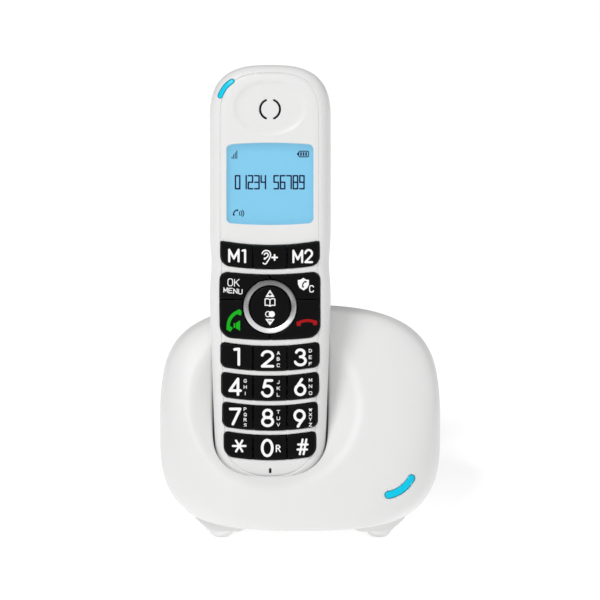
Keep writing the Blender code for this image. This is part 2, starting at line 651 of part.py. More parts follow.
# ---------------------------------------------------------------- base
BASE_LIGHT = arc_bar((46.2, 14.9), 13.1, -82, -30, 2.8)
BASE_SCREWS = {"base_screw_front": (26.0, -17.0), "base_screw_rear": (-28.5, 17.0)}
SOCKETS = {"line_socket": (8.0, 6.5), "power_jack": (25.0, 4.6)}
SOCKET_FRONT_Y, SOCKET_LOW, SOCKET_HIGH, SOCKET_GAP = 38.5, 13.9, 25.4, 0.5
PAGE_CENTRE = (-14.0, 35.6, 45.0)
PAGE_TILT_DEG = 16.0
PAGE_RADIUS = 4.9
PIN_HALF_X, PIN_HALF_Z = 1.3, 0.6
PAGE_FRAME = make_frame("page_frame", PAGE_CENTRE, (-90.0 + PAGE_TILT_DEG, 0, 0))


CAVITY_LOW, CRADLE_HIGH = 5.0, 130.0


def make_base_top_cover():
    cavity_zs = [z - BASE_WALL for z in TOP_COVER_ZS[1:]]
    cavity = place("base_cavity", base_body(BASE_WALL, CAVITY_LOW, cavity_zs, 30), WORLD)
    cradle_wall = handset_body(-SIDE_CLEARANCE - BASE_WALL, 20, CRADLE_HIGH)
    cut(cavity, place("cradle_wall", cradle_wall, HANDSET), place("scoop_wall", scoop(BASE_WALL), HANDSET))
    for x, y in BASE_SCREWS.values():
        boss = cylinder((x, y), BASE_BOSS_RADIUS, BASE_SEAM_Z + 0.5, BASE_TOP + 8, segments=12)
        cut(cavity, place("base_boss", boss, WORLD))
    cover = place("base_top_cover", base_body(0.0, BASE_SEAM_Z, TOP_COVER_ZS), WORLD, "casing")
    cut(cover, cavity)
    cradle = handset_body(-SIDE_CLEARANCE, 24, CRADLE_HIGH)
    cut(cover, place("cradle_hole", cradle, HANDSET), place("scoop", scoop(0.0), HANDSET))
    cut(cover, place("base_light_hole", plate(grown(BASE_LIGHT, 0.3), -2, 25), HANDSET))
    for side in (-1, 1):
        x, half_x, half_z = side * PAD_X, PIN_HALF_X + 0.4, PIN_HALF_Z + 0.4
        pin = box((x - half_x, -8, PAD_Z - half_z), (x + half_x, 6, PAD_Z + half_z))
        cut(cover, place("pin_hole", pin, HANDSET))
    for x, half in SOCKETS.values():
        half += SOCKET_GAP
        opening = box((x - half, 30, SOCKET_LOW - SOCKET_GAP), (x + half, 60, SOCKET_HIGH + SOCKET_GAP))
        cut(cover, place("socket_opening", opening, WORLD))
    page_hole = cylinder((0, 0), PAGE_RADIUS + 0.4, -8, 8, segments=20)
    cut(cover, place("page_hole", page_hole, PAGE_FRAME))
    for x, y in BASE_SCREWS.values():
        hole = cylinder((x, y), SCREW_HOLE_RADIUS, 0, 24, segments=8)
        cut(cover, place("boss_hole", hole, WORLD))


def make_base_light():
    light = place("base_indicator", plate(BASE_LIGHT, -1.5, 22), HANDSET, "indicator")
    shape = base_body(-0.1, CAVITY_LOW, TOP_COVER_ZS)
    boolean(light, "INTERSECT", place("base_light_shape", shape, WORLD))
    cavity = base_body(BASE_WALL, CAVITY_LOW, TOP_COVER_ZS[:-2], 30)
    cut(light, place("base_light_cavity", cavity, WORLD))


def feet():
    return [(sx * FOOT_X, y) for y in (FRONT_FOOT_Y, REAR_FOOT_Y) for sx in (-1, 1)]


def foot_flare(x, y):
    """A foot that widens into the underside in a hollow curve."""
    turns = [math.tau * i / 20 for i in range(20)]
    return loft([[(x + r * math.cos(a), y + r * math.sin(a), z) for a in turns] for z, r in FOOT_PROFILE])


def make_base_bottom_cover():
    shape = loft([base_ring(z, inset, 36) for z, inset in PAN_EDGE])
    pan = place("base_bottom_cover", shape, WORLD, "casing")
    for x, y in feet():
        boolean(pan, "UNION", place("foot_flare", foot_flare(x, y), WORLD))
    rim = base_ring(PAN_CLIP_Z, PAN_CLIP_INSET, 36)
    clip = loft([[(x, y, z) for x, y, _ in rim] for z in (-1, BASE_SEAM_Z + 1)])
    boolean(pan, "INTERSECT", place("pan_clip", clip, WORLD))
    hollow = loft([base_ring(z, inset, 28) for z, inset in PAN_HOLLOW])
    cut(pan, place("pan_hollow", hollow, WORLD))
    for x, y in feet():
        recess = cylinder((x, y), FOOT_PAD_RADIUS + 0.25, -1, 1.4, segments=16)
        cut(pan, place("pad_recess", recess, WORLD))
    for x, y in BASE_SCREWS.values():
        hole = cylinder((x, y), SCREW_HOLE_RADIUS, 0, 9, segments=8)
        head = cylinder((x, y), BASE_HEAD_RECESS_RADIUS, 0, 4.2, segments=12)
        cut(pan, place("pan_screw_hole", hole, WORLD), place("pan_head_recess", head, WORLD))
    names = ("foot_pad_front_left", "foot_pad_front_right", "foot_pad_rear_left", "foot_pad_rear_right")
    for name, (x, y) in zip(names, feet()):
        place(name, cylinder((x, y), FOOT_PAD_RADIUS, 0.0, 1.1, segments=16), WORLD, "foot")


def make_base_insides():
    place("base_weight", box((-22, 4, 5.5), (22, 29, 8.7)), WORLD, "steel")
    place("base_circuit_board", box((-24, 0, 12.0), (30, 35, 13.6)), WORLD, "board")
    line_x, line_half = SOCKETS["line_socket"]
    socket = box((line_x - line_half, 24.5, SOCKET_LOW), (line_x + line_half, SOCKET_FRONT_Y, SOCKET_HIGH))
    socket = place("line_socket", socket, WORLD, "dark")
    mouth = box((line_x - 4.9, 27.0, 16.2), (line_x + 4.9, 45, 23.2))
    latch = box((line_x - 1.7, 27.0, 15.0), (line_x + 1.7, 45, 17.0))
    cut(socket, place("socket_mouth", mouth, WORLD), place("socket_latch", latch, WORLD))
    jack_x, jack_half = SOCKETS["power_jack"]
    jack = box((jack_x - jack_half, 24.5, SOCKET_LOW), (jack_x + jack_half, SOCKET_FRONT_Y, SOCKET_HIGH))
    jack = place("power_jack", jack, WORLD, "dark")
    middle_z = (SOCKET_LOW + SOCKET_HIGH) / 2
    cut(jack, place("jack_bore", cylinder((jack_x, middle_z), 2.9, 29, 45, "Y", 16), WORLD))
    pin = place("jack_pin", cylinder((jack_x, middle_z), 1.0, 28, 37.5, "Y", 8), WORLD)
    boolean(jack, "UNION", pin)
    place("page_button", cylinder((0, 0), PAGE_RADIUS, -4.6, 1.0, segments=20), PAGE_FRAME, "casing")
    for name, side in (("charge_contact_left", -1), ("charge_contact_right", 1)):
        x = side * PAD_X
        top = PAD_LOW - 0.3
        pin = box((x - PIN_HALF_X, -3.4, PAD_Z - PIN_HALF_Z), (x + PIN_HALF_X, top, PAD_Z + PIN_HALF_Z))
        place(name, pin, HANDSET, "gold", (x, top, PAD_Z))
    for name, (x, y) in BASE_SCREWS.items():
        screw = place(name, cylinder((x, y), 2.2, 2.3, 3.9, segments=12), WORLD, "steel")
        shank = cylinder((x, y), SHANK_RADIUS, 2.6, 20, segments=8)
        boolean(screw, "UNION", place(name + "_shank", shank, WORLD))


make_front_cover()
make_handset_light()
make_rear_cover()
make_battery_door()
make_key_rows()
make_pad_keys()
make_rocker()
make_handset_insides()
make_base_top_cover()
make_base_light()
make_base_bottom_cover()
make_base_insides()
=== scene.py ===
# The finished surfaces of a big-button cordless telephone in its charging base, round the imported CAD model.
# Moulded pieces are signed distance formulas in millimetres, below zero inside the plastic, meshed here.
# Handset formulas use the handset's own frame: x across, y up its length from the chin, z out of its face.
import math

import bpy
import numpy as np
from mathutils import Matrix, Vector


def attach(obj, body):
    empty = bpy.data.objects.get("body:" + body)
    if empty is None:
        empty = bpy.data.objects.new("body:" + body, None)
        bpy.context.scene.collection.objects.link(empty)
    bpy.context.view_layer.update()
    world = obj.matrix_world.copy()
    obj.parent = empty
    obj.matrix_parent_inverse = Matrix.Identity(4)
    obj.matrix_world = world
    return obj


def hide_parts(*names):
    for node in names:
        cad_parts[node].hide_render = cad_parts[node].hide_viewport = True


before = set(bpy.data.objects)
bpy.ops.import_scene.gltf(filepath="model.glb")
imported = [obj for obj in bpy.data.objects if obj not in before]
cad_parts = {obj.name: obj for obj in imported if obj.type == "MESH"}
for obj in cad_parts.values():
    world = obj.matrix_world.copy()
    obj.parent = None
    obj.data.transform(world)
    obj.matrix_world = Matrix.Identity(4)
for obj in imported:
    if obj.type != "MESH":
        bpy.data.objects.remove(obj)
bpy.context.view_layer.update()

MM = 0.001
LEAN = math.radians(18)
HANDSET_ORIGIN = (-12.2, -21.2, 13.3)

# ---- handset sizes in millimetres, nearly all as in the CAD ----
LENGTH, HALF_WIDTH, CHIN_HALF_WIDTH = 177.3, 24.85, 22.3
WAIST_DIP, WAIST_Y, WAIST_SPREAD = 0.7, 96.0, 7.0
WIDENS_FROM, WIDENS_OVER, BACK_DEEPENS_FROM, BACK_DEEPENS_OVER = 10, 70, 20, 35
FACE, BACK, CHIN_BACK = 11.0, 13.5, 11.8
TOP_ARCH, TOP_POWER, CHIN_ARCH, CHIN_POWER = 22.8, 2.8, 24.0, 2.3
FRONT_EDGE, FRONT_EDGE_POWER = 9.0, 2.8
BACK_EDGE, BACK_EDGE_POWER = 12.0, 2.5
FRONT_WALL, REAR_WALL, SEAM = 1.8, 1.5, 0.12
FACE_LINE_INSETS, FACE_LINE_RADIUS, FACE_SINK = (4.8, 4.2, 9.2), 0.34, 0.14
MICROPHONE_X, MICROPHONE_Y = 0.1, 11.5
WINDOW_Y, WINDOW_HALF_WIDTH, WINDOW_HALF_HEIGHT, WINDOW_BOW = 128.2, 17.65, 16.7, 0.8
EAR_Y, EAR_DISH_Y, EAR_RADII, EAR_DEPTH = 158.6, 159.2, (15.0, 11.3), 1.0
EAR_SLOT_RADIUS, EAR_SLOT_HALF_DEG, EAR_SLOT_WIDTH = 4.05, 66, 0.85
# Each light bar: the centre of its arc, radius, first and last angle, width.
HANDSET_LIGHT = ((-9.9, 160.6), 10.9, 121, 162, 1.9)
BASE_LIGHT = ((46.2, 14.9), 13.1, -82, -30, 2.8)
HANDSET_LIGHT_DEPTH, BASE_LIGHT_DEPTH, LIGHT_GAP = 1.7, 1.9, 0.05
SCREW_X, SCREW_Y, SHANK_RADIUS, SCREW_PITCH = 17.5, 107.4, 0.85, 0.9
SPEAKER_Y, SPEAKER_PITCH, SPEAKER_SLOT_HALF = 156.0, 3.0, 7.5
BOSS_RADIUS, HEAD_BORE_RADIUS, HEAD_BORE_TOP, SHANK_BORE_RADIUS = 3.2, 2.4, -7.5, 1.0
PAD_X, PAD_LOW, PAD_Z = 7.5, 2.0, -3.0
BAY_LOW, BAY_HIGH, DOOR_HALF = 82.0, 138.0, 15.0
DOOR_OPENING_Z, DOOR_INNER_Z, LEDGE_WIDTH, LEDGE_Z, LEDGE_HALF_HEIGHT = -11.6, -11.95, 1.3, -11.0, 0.6
DOOR_RIDGES, DOOR_RIDGE_Y, DOOR_RIDGE_PITCH, DOOR_RIDGE_HALF = 5, 127.0, 1.7, 7.0
TRAY_HALF, TRAY_LOW, TRAY_HIGH, TRAY_TOP, TRAY_WALL = 11.4, 84.4, 135.6, -1.0, 1.2
CELL_RADIUS, CELL_LENGTH, CELL_X, CELL_Z, CELL_LOW = 5.2, 44.5, 5.6, -6.5, 88.4

# ---- keys ----
KEY_FLOOR, KEY_TOP, KEY_GAP, KEY_EDGE = 5.3, 11.7, 0.35, 0.6
COLUMN_HALF, ROW_SAG, ROW_HEIGHT, MEMORY_ROW_HEIGHT = 6.9, 1.75, 9.45, 9.1
NUMBER_ROWS = ((57.8, 19.8, "123"), (45.65, 19.55, "456"), (33.55, 19.1, "789"), (21.55, 18.45, "*0#"))
KEY_NAMES = {"*": "key_star", "#": "key_hash"}
MEMORY_ROW_Y, MEMORY_ROW_HALF = 99.0, 19.85
PAD_Y, PAD_HALF_WIDTH, PAD_HALF_HEIGHT, PAD_SPLIT_Y = 78.5, 20.1, 12.95, 81.2
PAD_RADII, PAD_SAG = (4.4, 3.2), 1.35
NAV_Y, RING_OUTER, RING_INNER, NAV_RADIUS = 78.2, 10.8, 8.55, 8.2
NAV_DISH, NAV_DISH_RADIUS = 0.35, 70.0

DISPLAY_LEVEL, LENS_BOTTOM, LENS_TOP, LENS_EDGE, LENS_GAP = 8.36, 8.9, 10.5, 0.3, 0.12

# ---- base sizes in millimetres, nearly all as in the CAD ----
BASE_HALF_WIDTH, BASE_TOP, BASE_WAIST_Z = 58.4, 82.0, 37.0
BASE_PLAN_POWERS, PLAN_POWER_ZS = (2.6, 3.8), (8.0, 45.0)
BASE_CROWN_POWERS, BASE_LOW_POWERS = (3.3, 2.75), (3.7, 3.6)
FRONT_FOOT_LINE, FRONT_TOP_LINE = (-46.6, 8.0), (12.5, 80.0)
BACK_FOOT_LINE, BACK_TOP_LINE = (46.6, 8.0), (26.0, 80.0)
FRONT_BULGE, BULGE_LOW, BULGE_HEIGHT, BASE_WALL, BASE_SEAM_Z = 2.0, 8, 72, 2.0, 7.5
DEPTH_CROWN_POWER, DEPTH_LOW_POWER = 8.0, 5.0
CRADLE_CLEARANCE = 0.7
SCOOP_Y, SCOOP_RIM, SCOOP_DEPTH, SCOOP_TILT_DEG, SURFACE_AT_SCOOP = 37.6, 34.0, 7.5, 21.8, 2.75
PAN_EDGE = ((3.2, 8.0), (4.4, 5.8), (5.8, 3.5), (7.2, 1.5))
PAN_TOP_Z, PAN_FLOOR, PAN_WALL, PAN_CLIP_INSET, PAN_HALF_DEPTH = 7.2, 2.0, 3.4, 1.2, 42
FOOT_X, FRONT_FOOT_Y, REAR_FOOT_Y = 32.2, -28.5, 27.0
FOOT_PROFILE = ((0.5, 4.2), (1.2, 4.7), (2.2, 5.3), (3.4, 6.8), (4.4, 9.2), (5.2, 12.4))
FOOT_PAD_RADIUS, FOOT_PAD_TOP = 3.0, 1.1
BASE_SCREWS = {"base_screw_front": (26.0, -17.0), "base_screw_rear": (-28.5, 17.0)}
SOCKETS = {"line_socket": (8.0, 6.5), "power_jack": (25.0, 4.6)}
SOCKET_BACK_Y, SOCKET_FRONT_Y, SOCKET_LOW, SOCKET_HIGH, SOCKET_GAP = 24.5, 38.5, 13.9, 25.4, 0.5
PAGE_CENTRE, PAGE_TILT, PAGE_RADIUS, PAGE_DISH_RADIUS = (-14.0, 35.6, 45.0), math.radians(16), 4.9, 40
WIRE_PITCH = 1.27

COARSE = 1.0
GRID_POINTS_AT_ONCE = 120000


# ---------------------------------------------------------------- frames
def frame_matrix(origin, turn_x):
    return Matrix.Translation(Vector(origin)) @ Matrix.Rotation(turn_x, 4, "X")


WORLD = Matrix.Identity(4)
HANDSET = frame_matrix(HANDSET_ORIGIN, math.pi / 2 - LEAN)
PAGE = frame_matrix(PAGE_CENTRE, PAGE_TILT - math.pi / 2)


def moved(matrix, x, y, z):
    """Points given in one frame, in the frame that the matrix leads to."""
    m = np.array(matrix)
    return [m[i, 0] * x + m[i, 1] * y + m[i, 2] * z + m[i, 3] for i in range(3)]


# ---------------------------------------------------------------- distance formulas
def smooth_max(a, b, k):
    """The larger of two formulas, with the corner between them rounded over a width of k."""
    h = np.maximum(k - np.abs(a - b), 0) / k
    return np.maximum(a, b) + h * h * (k / 4)


def smooth_min(a, b, k):
    return -smooth_max(-a, -b, k)


def carve(solid, hole, k):
    """A solid less a hole, the rim of the hole rounded over a width of k."""
    return smooth_max(solid, -hole, k)


def rounded_rect(x, y, half_x, half_y, radius):
    qx = np.abs(x) - half_x + radius
    qy = np.abs(y) - half_y + radius
    outside = np.hypot(np.maximum(qx, 0), np.maximum(qy, 0))
    return outside + np.minimum(np.maximum(qx, qy), 0) - radius


def box_distance(x, y, z, low, high, radius):
    q = [np.abs(p - (a + b) / 2) - (b - a) / 2 + radius for p, a, b in zip((x, y, z), low, high)]
    outside = np.sqrt(sum(np.maximum(c, 0) ** 2 for c in q))
    return outside + np.minimum(np.maximum(np.maximum(q[0], q[1]), q[2]), 0) - radius


def arc_distance(x, y, centre, radius, start_deg, end_deg, width):
    """From a curved bar with round ends."""
    middle, half = math.radians((start_deg + end_deg) / 2), math.radians((end_deg - start_deg) / 2)
    dx, dy = x - centre[0], y - centre[1]
    along = dx * math.cos(middle) + dy * math.sin(middle)
    across = np.abs(dy * math.cos(middle) - dx * math.sin(middle))
    off_end = across * math.cos(half) > along * math.sin(half)
    to_end = np.hypot(along - radius * math.cos(half), across - radius * math.sin(half))
    return np.where(off_end, to_end, np.abs(np.hypot(dx, dy) - radius)) - width / 2


def fall(share, power, root=None):
    """From one at the middle down to nothing at a share of one, along an arch."""
    return np.maximum(1 - np.clip(np.abs(share), 0, 1) ** power, 1e-6) ** (1 / (root or power))


# ---------------------------------------------------------------- meshing a formula
def slope(shape, points, reach=0.02):
    """A formula's gradient at points, by differences."""
    made = np.empty_like(points)
    for axis in range(3):
        ahead, behind = points.copy(), points.copy()
        ahead[:, axis] += reach
        behind[:, axis] -= reach
        made[:, axis] = (shape(*ahead.T) - shape(*behind.T)) / (2 * reach)
    return made


def settle(shape, points, most, rounds):
    """Points moved onto the formula's surface."""
    for _ in range(rounds):
        gradient = slope(shape, points)
        step = gradient * (shape(*points.T) / np.maximum((gradient**2).sum(1), 1e-6))[:, None]
        length = np.linalg.norm(step, axis=1, keepdims=True)
        points = points - step * np.minimum(1, most / np.maximum(length, 1e-9))
    return points


def surface(shape, low, high, step):
    """A quad mesh of where the formula is zero: one point in each grid cell that the surface crosses."""
    axes = [np.arange(a - 1.5 * step, b + 2 * step, step) for a, b in zip(low, high)]
    field = np.empty([len(a) for a in axes])
    slab = max(1, GRID_POINTS_AT_ONCE // (len(axes[1]) * len(axes[2])))
    for i in range(0, len(axes[0]), slab):
        x, y, z = np.meshgrid(axes[0][i : i + slab], axes[1], axes[2], indexing="ij")
        field[i : i + slab] = shape(x.ravel(), y.ravel(), z.ravel()).reshape(x.shape)
    inside = field < 0
    size = [n - 1 for n in field.shape]
    total = np.zeros(size, np.int8)
    for i in (0, 1):
        for j in (0, 1):
            for k in (0, 1):
                total += inside[i : size[0] + i, j : size[1] + j, k : size[2] + k]
    cells = np.argwhere((total > 0) & (total < 8))
    index = np.full(size, -1, np.int32)
    index[tuple(cells.T)] = np.arange(len(cells))
    points, count = np.zeros((len(cells), 3)), np.zeros(len(cells))
    quads = []
    for axis in range(3):
        u, v = (axis + 1) % 3, (axis + 2) % 3
        along = np.eye(3, dtype=int)[axis]
        for corner in ((0, 0), (1, 0), (0, 1), (1, 1)):
            start = cells.copy()
            start[:, u] += corner[0]
            start[:, v] += corner[1]
            first, second = field[tuple(start.T)], field[tuple((start + along).T)]
            crosses = (first < 0) != (second < 0)
            share = (first / np.where(crosses, first - second, 1))[:, None]
            points[crosses] += (start + share * along)[crosses]
            count += crosses
        cut = [slice(None)] * 3
        cut[axis] = slice(0, -1)
        ahead = [slice(None)] * 3
        ahead[axis] = slice(1, None)
        leaving = inside[tuple(cut)]
        edges = np.argwhere(leaving != inside[tuple(ahead)])
        eu, ev = edges[:, u], edges[:, v]
        edges = edges[(eu > 0) & (ev > 0) & (eu < size[u]) & (ev < size[v])]
        ring = []
        for du, dv in ((1, 1), (0, 1), (0, 0), (1, 0)):
            cell = edges.copy()
            cell[:, u] -= du
            cell[:, v] -= dv
            ring.append(index[tuple(cell.T)])
        ring = np.stack(ring, 1)
        outwards = leaving[tuple(edges.T)]
        quads.append(np.where(outwards[:, None], ring, ring[:, ::-1]))
    points = points / count[:, None] * step + np.array([a[0] for a in axes])
    return settle(shape, points, step, 3), np.concatenate(quads)


def thinned(points, faces, keep):
    """The mesh with fewer faces where it is nearly flat."""
    mesh = bpy.data.meshes.new("full")
    mesh.from_pydata(points, [], faces.tolist())
    holder = bpy.data.objects.new("full", mesh)
    bpy.context.scene.collection.objects.link(holder)
    modifier = holder.modifiers.new("thin", "DECIMATE")
    modifier.ratio = keep
    made = bpy.data.meshes.new_from_object(holder.evaluated_get(bpy.context.evaluated_depsgraph_get()))
    bpy.data.objects.remove(holder)
    bpy.data.meshes.remove(mesh)
    return made


def points_of(mesh):
    points = np.empty(len(mesh.vertices) * 3)
    mesh.vertices.foreach_get("co", points)
    return points.reshape(-1, 3)


def place_points(mesh, to, x, y, z):
    """Writes millimetres in a piece's own frame as metres in the world."""
    mesh.vertices.foreach_set("co", (np.stack(moved(to, x, y, z), 1) * MM).ravel())


def moulded(name, shape, low, high, step, keep, to):
    """An object whose surface follows a formula, smooth shaded by the formula's own slope."""
    mesh = thinned(*surface(shape, low, high, step * COARSE), keep)
    mesh.name = name
    points = settle(shape, points_of(mesh), step / 2, 2)
    normals = slope(shape, points)
    normals /= np.maximum(np.linalg.norm(normals, axis=1, keepdims=True), 1e-9)
    place_points(mesh, to, *points.T)
    mesh.shade_smooth()
    mesh.update()
    mesh.normals_split_custom_set_from_vertices(normals @ np.array(to.to_3x3()).T)
    return bpy.data.objects.new(name, mesh)


def add(obj, body, material, slot=None, *nodes):
    """Puts a finished piece in the scene, on its body and in place of its CAD nodes."""
    bpy.context.scene.collection.objects.link(obj)
    obj.data.materials.append(material)
    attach(obj, body)
    if nodes:
        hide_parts(*nodes)


def put(name, shape, low, high, step, keep, to, body, material, slot, *nodes):
    """A moulded piece with its finish, put in the scene."""
    add(moulded(name, shape, low, high, step, keep, to), body, M[material], slot, *nodes)


# ---------------------------------------------------------------- materials
def shader_of(material):
    return material.node_tree.nodes["Principled BSDF"]


def set_inputs(node, **values):
    """Sets some of a node's inputs. An underscore here stands for a space in the input's name."""
    for name, value in values.items():
        node.inputs[name.replace("_", " ")].default_value = value
    return node


def add_node(tree, kind, **values):
    return set_inputs(tree.nodes.new("ShaderNode" + kind), **values)


def add_colour_mix(tree, **colours):
    made = tree.nodes.new("ShaderNodeMix")
    made.data_type = "RGBA"
    return set_inputs(made, **colours)


def grained(name, colour, spread, roughness, rough_spread, scale, depth, detail_scale=90.0, **values):
    """A finely moulded finish: a slow drift of colour, a fine drift of roughness and a raised grain."""
    material = bpy.data.materials.new(name)
    material.use_nodes = True
    tree, shader = material.node_tree, shader_of(material)
    set_inputs(shader, Base_Color=(*colour, 1), Roughness=roughness, **values)
    place = add_node(tree, "TexCoord")

    def noise(at, detail):
        made = add_node(tree, "TexNoise", Scale=at, Detail=detail)
        tree.links.new(place.outputs["Object"], made.inputs["Vector"])
        return made

    def ramp(source, low, high):
        made = add_node(tree, "MapRange", From_Min=0.3, From_Max=0.7, To_Min=low, To_Max=high)
        tree.links.new(source.outputs["Fac"], made.inputs["Value"])
        return made

    darker = (*[c * (1 - spread) for c in colour], 1)
    lighter = (*[min(1, c * (1 + spread)) for c in colour], 1)
    drift = add_colour_mix(tree, A=darker, B=lighter)
    slow = ramp(noise(detail_scale, 3.0), 0, 1)
    tree.links.new(slow.outputs["Result"], drift.inputs["Factor"])
    tree.links.new(drift.outputs["Result"], shader.inputs["Base Color"])
    fine = noise(scale, 2.0)
    rough = ramp(fine, roughness - rough_spread, roughness + rough_spread)
    tree.links.new(rough.outputs["Result"], shader.inputs["Roughness"])
    bump = add_node(tree, "Bump", Strength=1.0, Distance=depth)
    tree.links.new(fine.outputs["Fac"], bump.inputs["Height"])
    tree.links.new(bump.outputs["Normal"], shader.inputs["Normal"])
    return material


def window_material():
    """A clear, hard-coated window: it shows what is behind it and adds only a reflection."""
    made = bpy.data.materials.new("clear_window")
    made.use_nodes = True
    tree = made.node_tree
    tree.nodes.remove(shader_of(made))
    clear = add_node(tree, "BsdfTransparent", Color=(0.97, 0.985, 0.99, 1))
    gloss = add_node(tree, "BsdfGlossy", Roughness=0.06)
    edge = add_node(tree, "Fresnel", IOR=1.3)
    side = add_node(tree, "NewGeometry")
    outer = add_node(tree, "Math")
    outer.operation = "SUBTRACT"
    outer.use_clamp = True
    tree.links.new(edge.outputs["Fac"], outer.inputs[0])
    tree.links.new(side.outputs["Backfacing"], outer.inputs[1])
    mix = add_node(tree, "MixShader")
    tree.links.new(outer.outputs["Value"], mix.inputs["Fac"])
    tree.links.new(clear.outputs["BSDF"], mix.inputs[1])
    tree.links.new(gloss.outputs["BSDF"], mix.inputs[2])
    tree.links.new(mix.outputs["Shader"], tree.nodes["Material Output"].inputs["Surface"])
    return made


def painted_reflection_ring_material():
    """Satin metal with a painted reflection: its colour grades by height from near black at the top of the
    ring to bright silver below.
    """
    made = grained("ring", (0.9, 0.9, 0.91), 0.02, 0.3, 0.05, 2600, 3e-6, Metallic=1.0)
    tree, colour = made.node_tree, shader_of(made).inputs["Base Color"]
    place, height = add_node(tree, "TexCoord"), add_node(tree, "SeparateXYZ")
    low, high = [(HANDSET @ Vector((0, NAV_Y + side * RING_OUTER, 11.5)) * MM).z for side in (-0.8, 1)]
    # Painted reflection: the colour turns near black towards the top of the ring, by height, in place of the
    # dark it would reflect there.
    painted_reflection_grade = add_node(tree, "MapRange", From_Min=low, From_Max=high, To_Min=1.0, To_Max=0.16)
    painted_reflection_grade.interpolation_type = "SMOOTHSTEP"
    painted_reflection_tint = add_colour_mix(tree, A=(0.02, 0.02, 0.021, 1))
    tree.links.new(place.outputs["Object"], height.inputs["Vector"])
    tree.links.new(height.outputs["Z"], painted_reflection_grade.inputs["Value"])
    tree.links.new(painted_reflection_grade.outputs["Result"], painted_reflection_tint.inputs["Factor"])
    tree.links.new(colour.links[0].from_socket, painted_reflection_tint.inputs["B"])
    tree.links.new(painted_reflection_tint.outputs["Result"], colour)
    return made


# Each finish: colour, its drift, roughness, its drift, and how fine and how deep the grain is.
M = {
    "casing": grained("casing", (0.80, 0.80, 0.795), 0.006, 0.40, 0.05, 5200, 1e-5, Specular_IOR_Level=0.4),
    "pan": grained("pan", (0.74, 0.74, 0.735), 0.01, 0.5, 0.05, 4200, 2e-5),
    "key": grained("key", (0.0035, 0.0035, 0.0038), 0.12, 0.36, 0.05, 5200, 8e-6, Specular_IOR_Level=0.08),
    "white": grained("legend_white", (0.93, 0.93, 0.93), 0.01, 0.5, 0.04, 6000, 2e-6),
    "green": grained(
        "legend_green", (0.008, 0.44, 0.012), 0.05, 0.45, 0.04, 6000, 2e-6, Specular_IOR_Level=0.12
    ),
    "red": grained(
        "legend_red", (0.38, 0.005, 0.008), 0.05, 0.45, 0.04, 6000, 2e-6, Specular_IOR_Level=0.12
    ),
    "ring": painted_reflection_ring_material(),
    "cyan": grained("cyan", (0.0, 0.50, 0.70), 0.02, 0.25, 0.04, 900, 3e-6, Specular_IOR_Level=0.2),
    "lcd": grained("lcd", (0.09, 0.26, 0.38), 0.02, 0.35, 0.03, 5000, 2e-6),
    "segment": grained("segment", (0.002, 0.006, 0.06), 0.1, 0.5, 0.03, 5000, 2e-6, Specular_IOR_Level=0.1),
    "steel": grained("steel", (0.56, 0.57, 0.58), 0.05, 0.34, 0.08, 2400, 1e-5, Metallic=1.0),
    "gold": grained("gold", (0.83, 0.60, 0.24), 0.04, 0.28, 0.06, 2600, 6e-6, Metallic=1.0),
    "board": grained("board", (0.015, 0.17, 0.06), 0.2, 0.38, 0.06, 1400, 3e-5),
    "dark": grained("dark", (0.02, 0.02, 0.021), 0.15, 0.55, 0.08, 3200, 3e-5),
    "rubber": grained("rubber", (0.36, 0.36, 0.37), 0.05, 0.8, 0.05, 3000, 4e-5),
    "sleeve": grained("sleeve", (0.05, 0.25, 0.10), 0.08, 0.3, 0.05, 1200, 1e-5),
    "window": window_material(),
}
set_inputs(shader_of(M["cyan"]), Emission_Color=(0, 0.62, 0.86, 1), Emission_Strength=0.18)
set_inputs(shader_of(M["lcd"]), Emission_Color=(0.235, 0.58, 0.79, 1), Emission_Strength=0.64)


# ---------------------------------------------------------------- handset forms
def handset_width(y):
    rise = np.clip((y - WIDENS_FROM) / WIDENS_OVER, 0, 1)
    width = CHIN_HALF_WIDTH + (HALF_WIDTH - CHIN_HALF_WIDTH) * rise
    return width - WAIST_DIP * np.exp(-(((y - WAIST_Y) / WAIST_SPREAD) ** 2))


def outline(x, y, side=0.0, top=0.0, chin=0.0):
    """In plan, from the handset's outline drawn in by these insets."""
    upper = y > LENGTH - TOP_ARCH
    arch = np.where(upper, TOP_ARCH - top, CHIN_ARCH - chin)
    share = np.where(upper, y - LENGTH + TOP_ARCH, np.maximum(CHIN_ARCH - y, 0)) / arch
    power = np.where(upper, TOP_POWER, CHIN_POWER)
    half = handset_width(y) - side
    across = np.abs(x) / half
    r = np.maximum((across**power + share**power) ** (1 / power), 1e-3)
    return (r - 1) / np.hypot((across / r) ** (power - 1) / half, (share / r) ** (power - 1) / arch)


def handset_solid(x, y, z):
    """The whole handset: its plan outline with an edge that rolls over towards the face and the back."""
    front = z >= 0
    deepening = np.clip((y - BACK_DEEPENS_FROM) / BACK_DEEPENS_OVER, 0, 1)
    back = CHIN_BACK + (BACK - CHIN_BACK) * deepening
    depth = np.where(front, FACE, back)
    edge = np.where(front, FRONT_EDGE, BACK_EDGE)
    power = np.where(front, FRONT_EDGE_POWER, BACK_EDGE_POWER)
    q = np.maximum(outline(x, y) + edge, 0) / edge
    t = np.abs(z) / depth
    r = np.maximum((q**power + t**power) ** (1 / power), 1e-3)
    return (r - 1) / np.hypot((q / r) ** (power - 1) / edge, (t / r) ** (power - 1) / depth)


def ear_dish(x, y, z):
    """The oval dish round the earpiece: nearly flat, with a rim that drops quickly."""
    r = np.hypot(x / EAR_RADII[0], (y - EAR_DISH_Y) / EAR_RADII[1])
    return (FACE - z + EAR_DEPTH * (np.minimum(r, 2) ** 12 - 1)) * 0.7


def window_distance(x, y):
    bow = WINDOW_BOW * np.clip(np.abs(x) / WINDOW_HALF_WIDTH, 0, 1) ** 2
    stretched = (y - WINDOW_Y) * WINDOW_HALF_HEIGHT / (WINDOW_HALF_HEIGHT - bow)
    return rounded_rect(x, stretched, WINDOW_HALF_WIDTH, WINDOW_HALF_HEIGHT, 2.0)


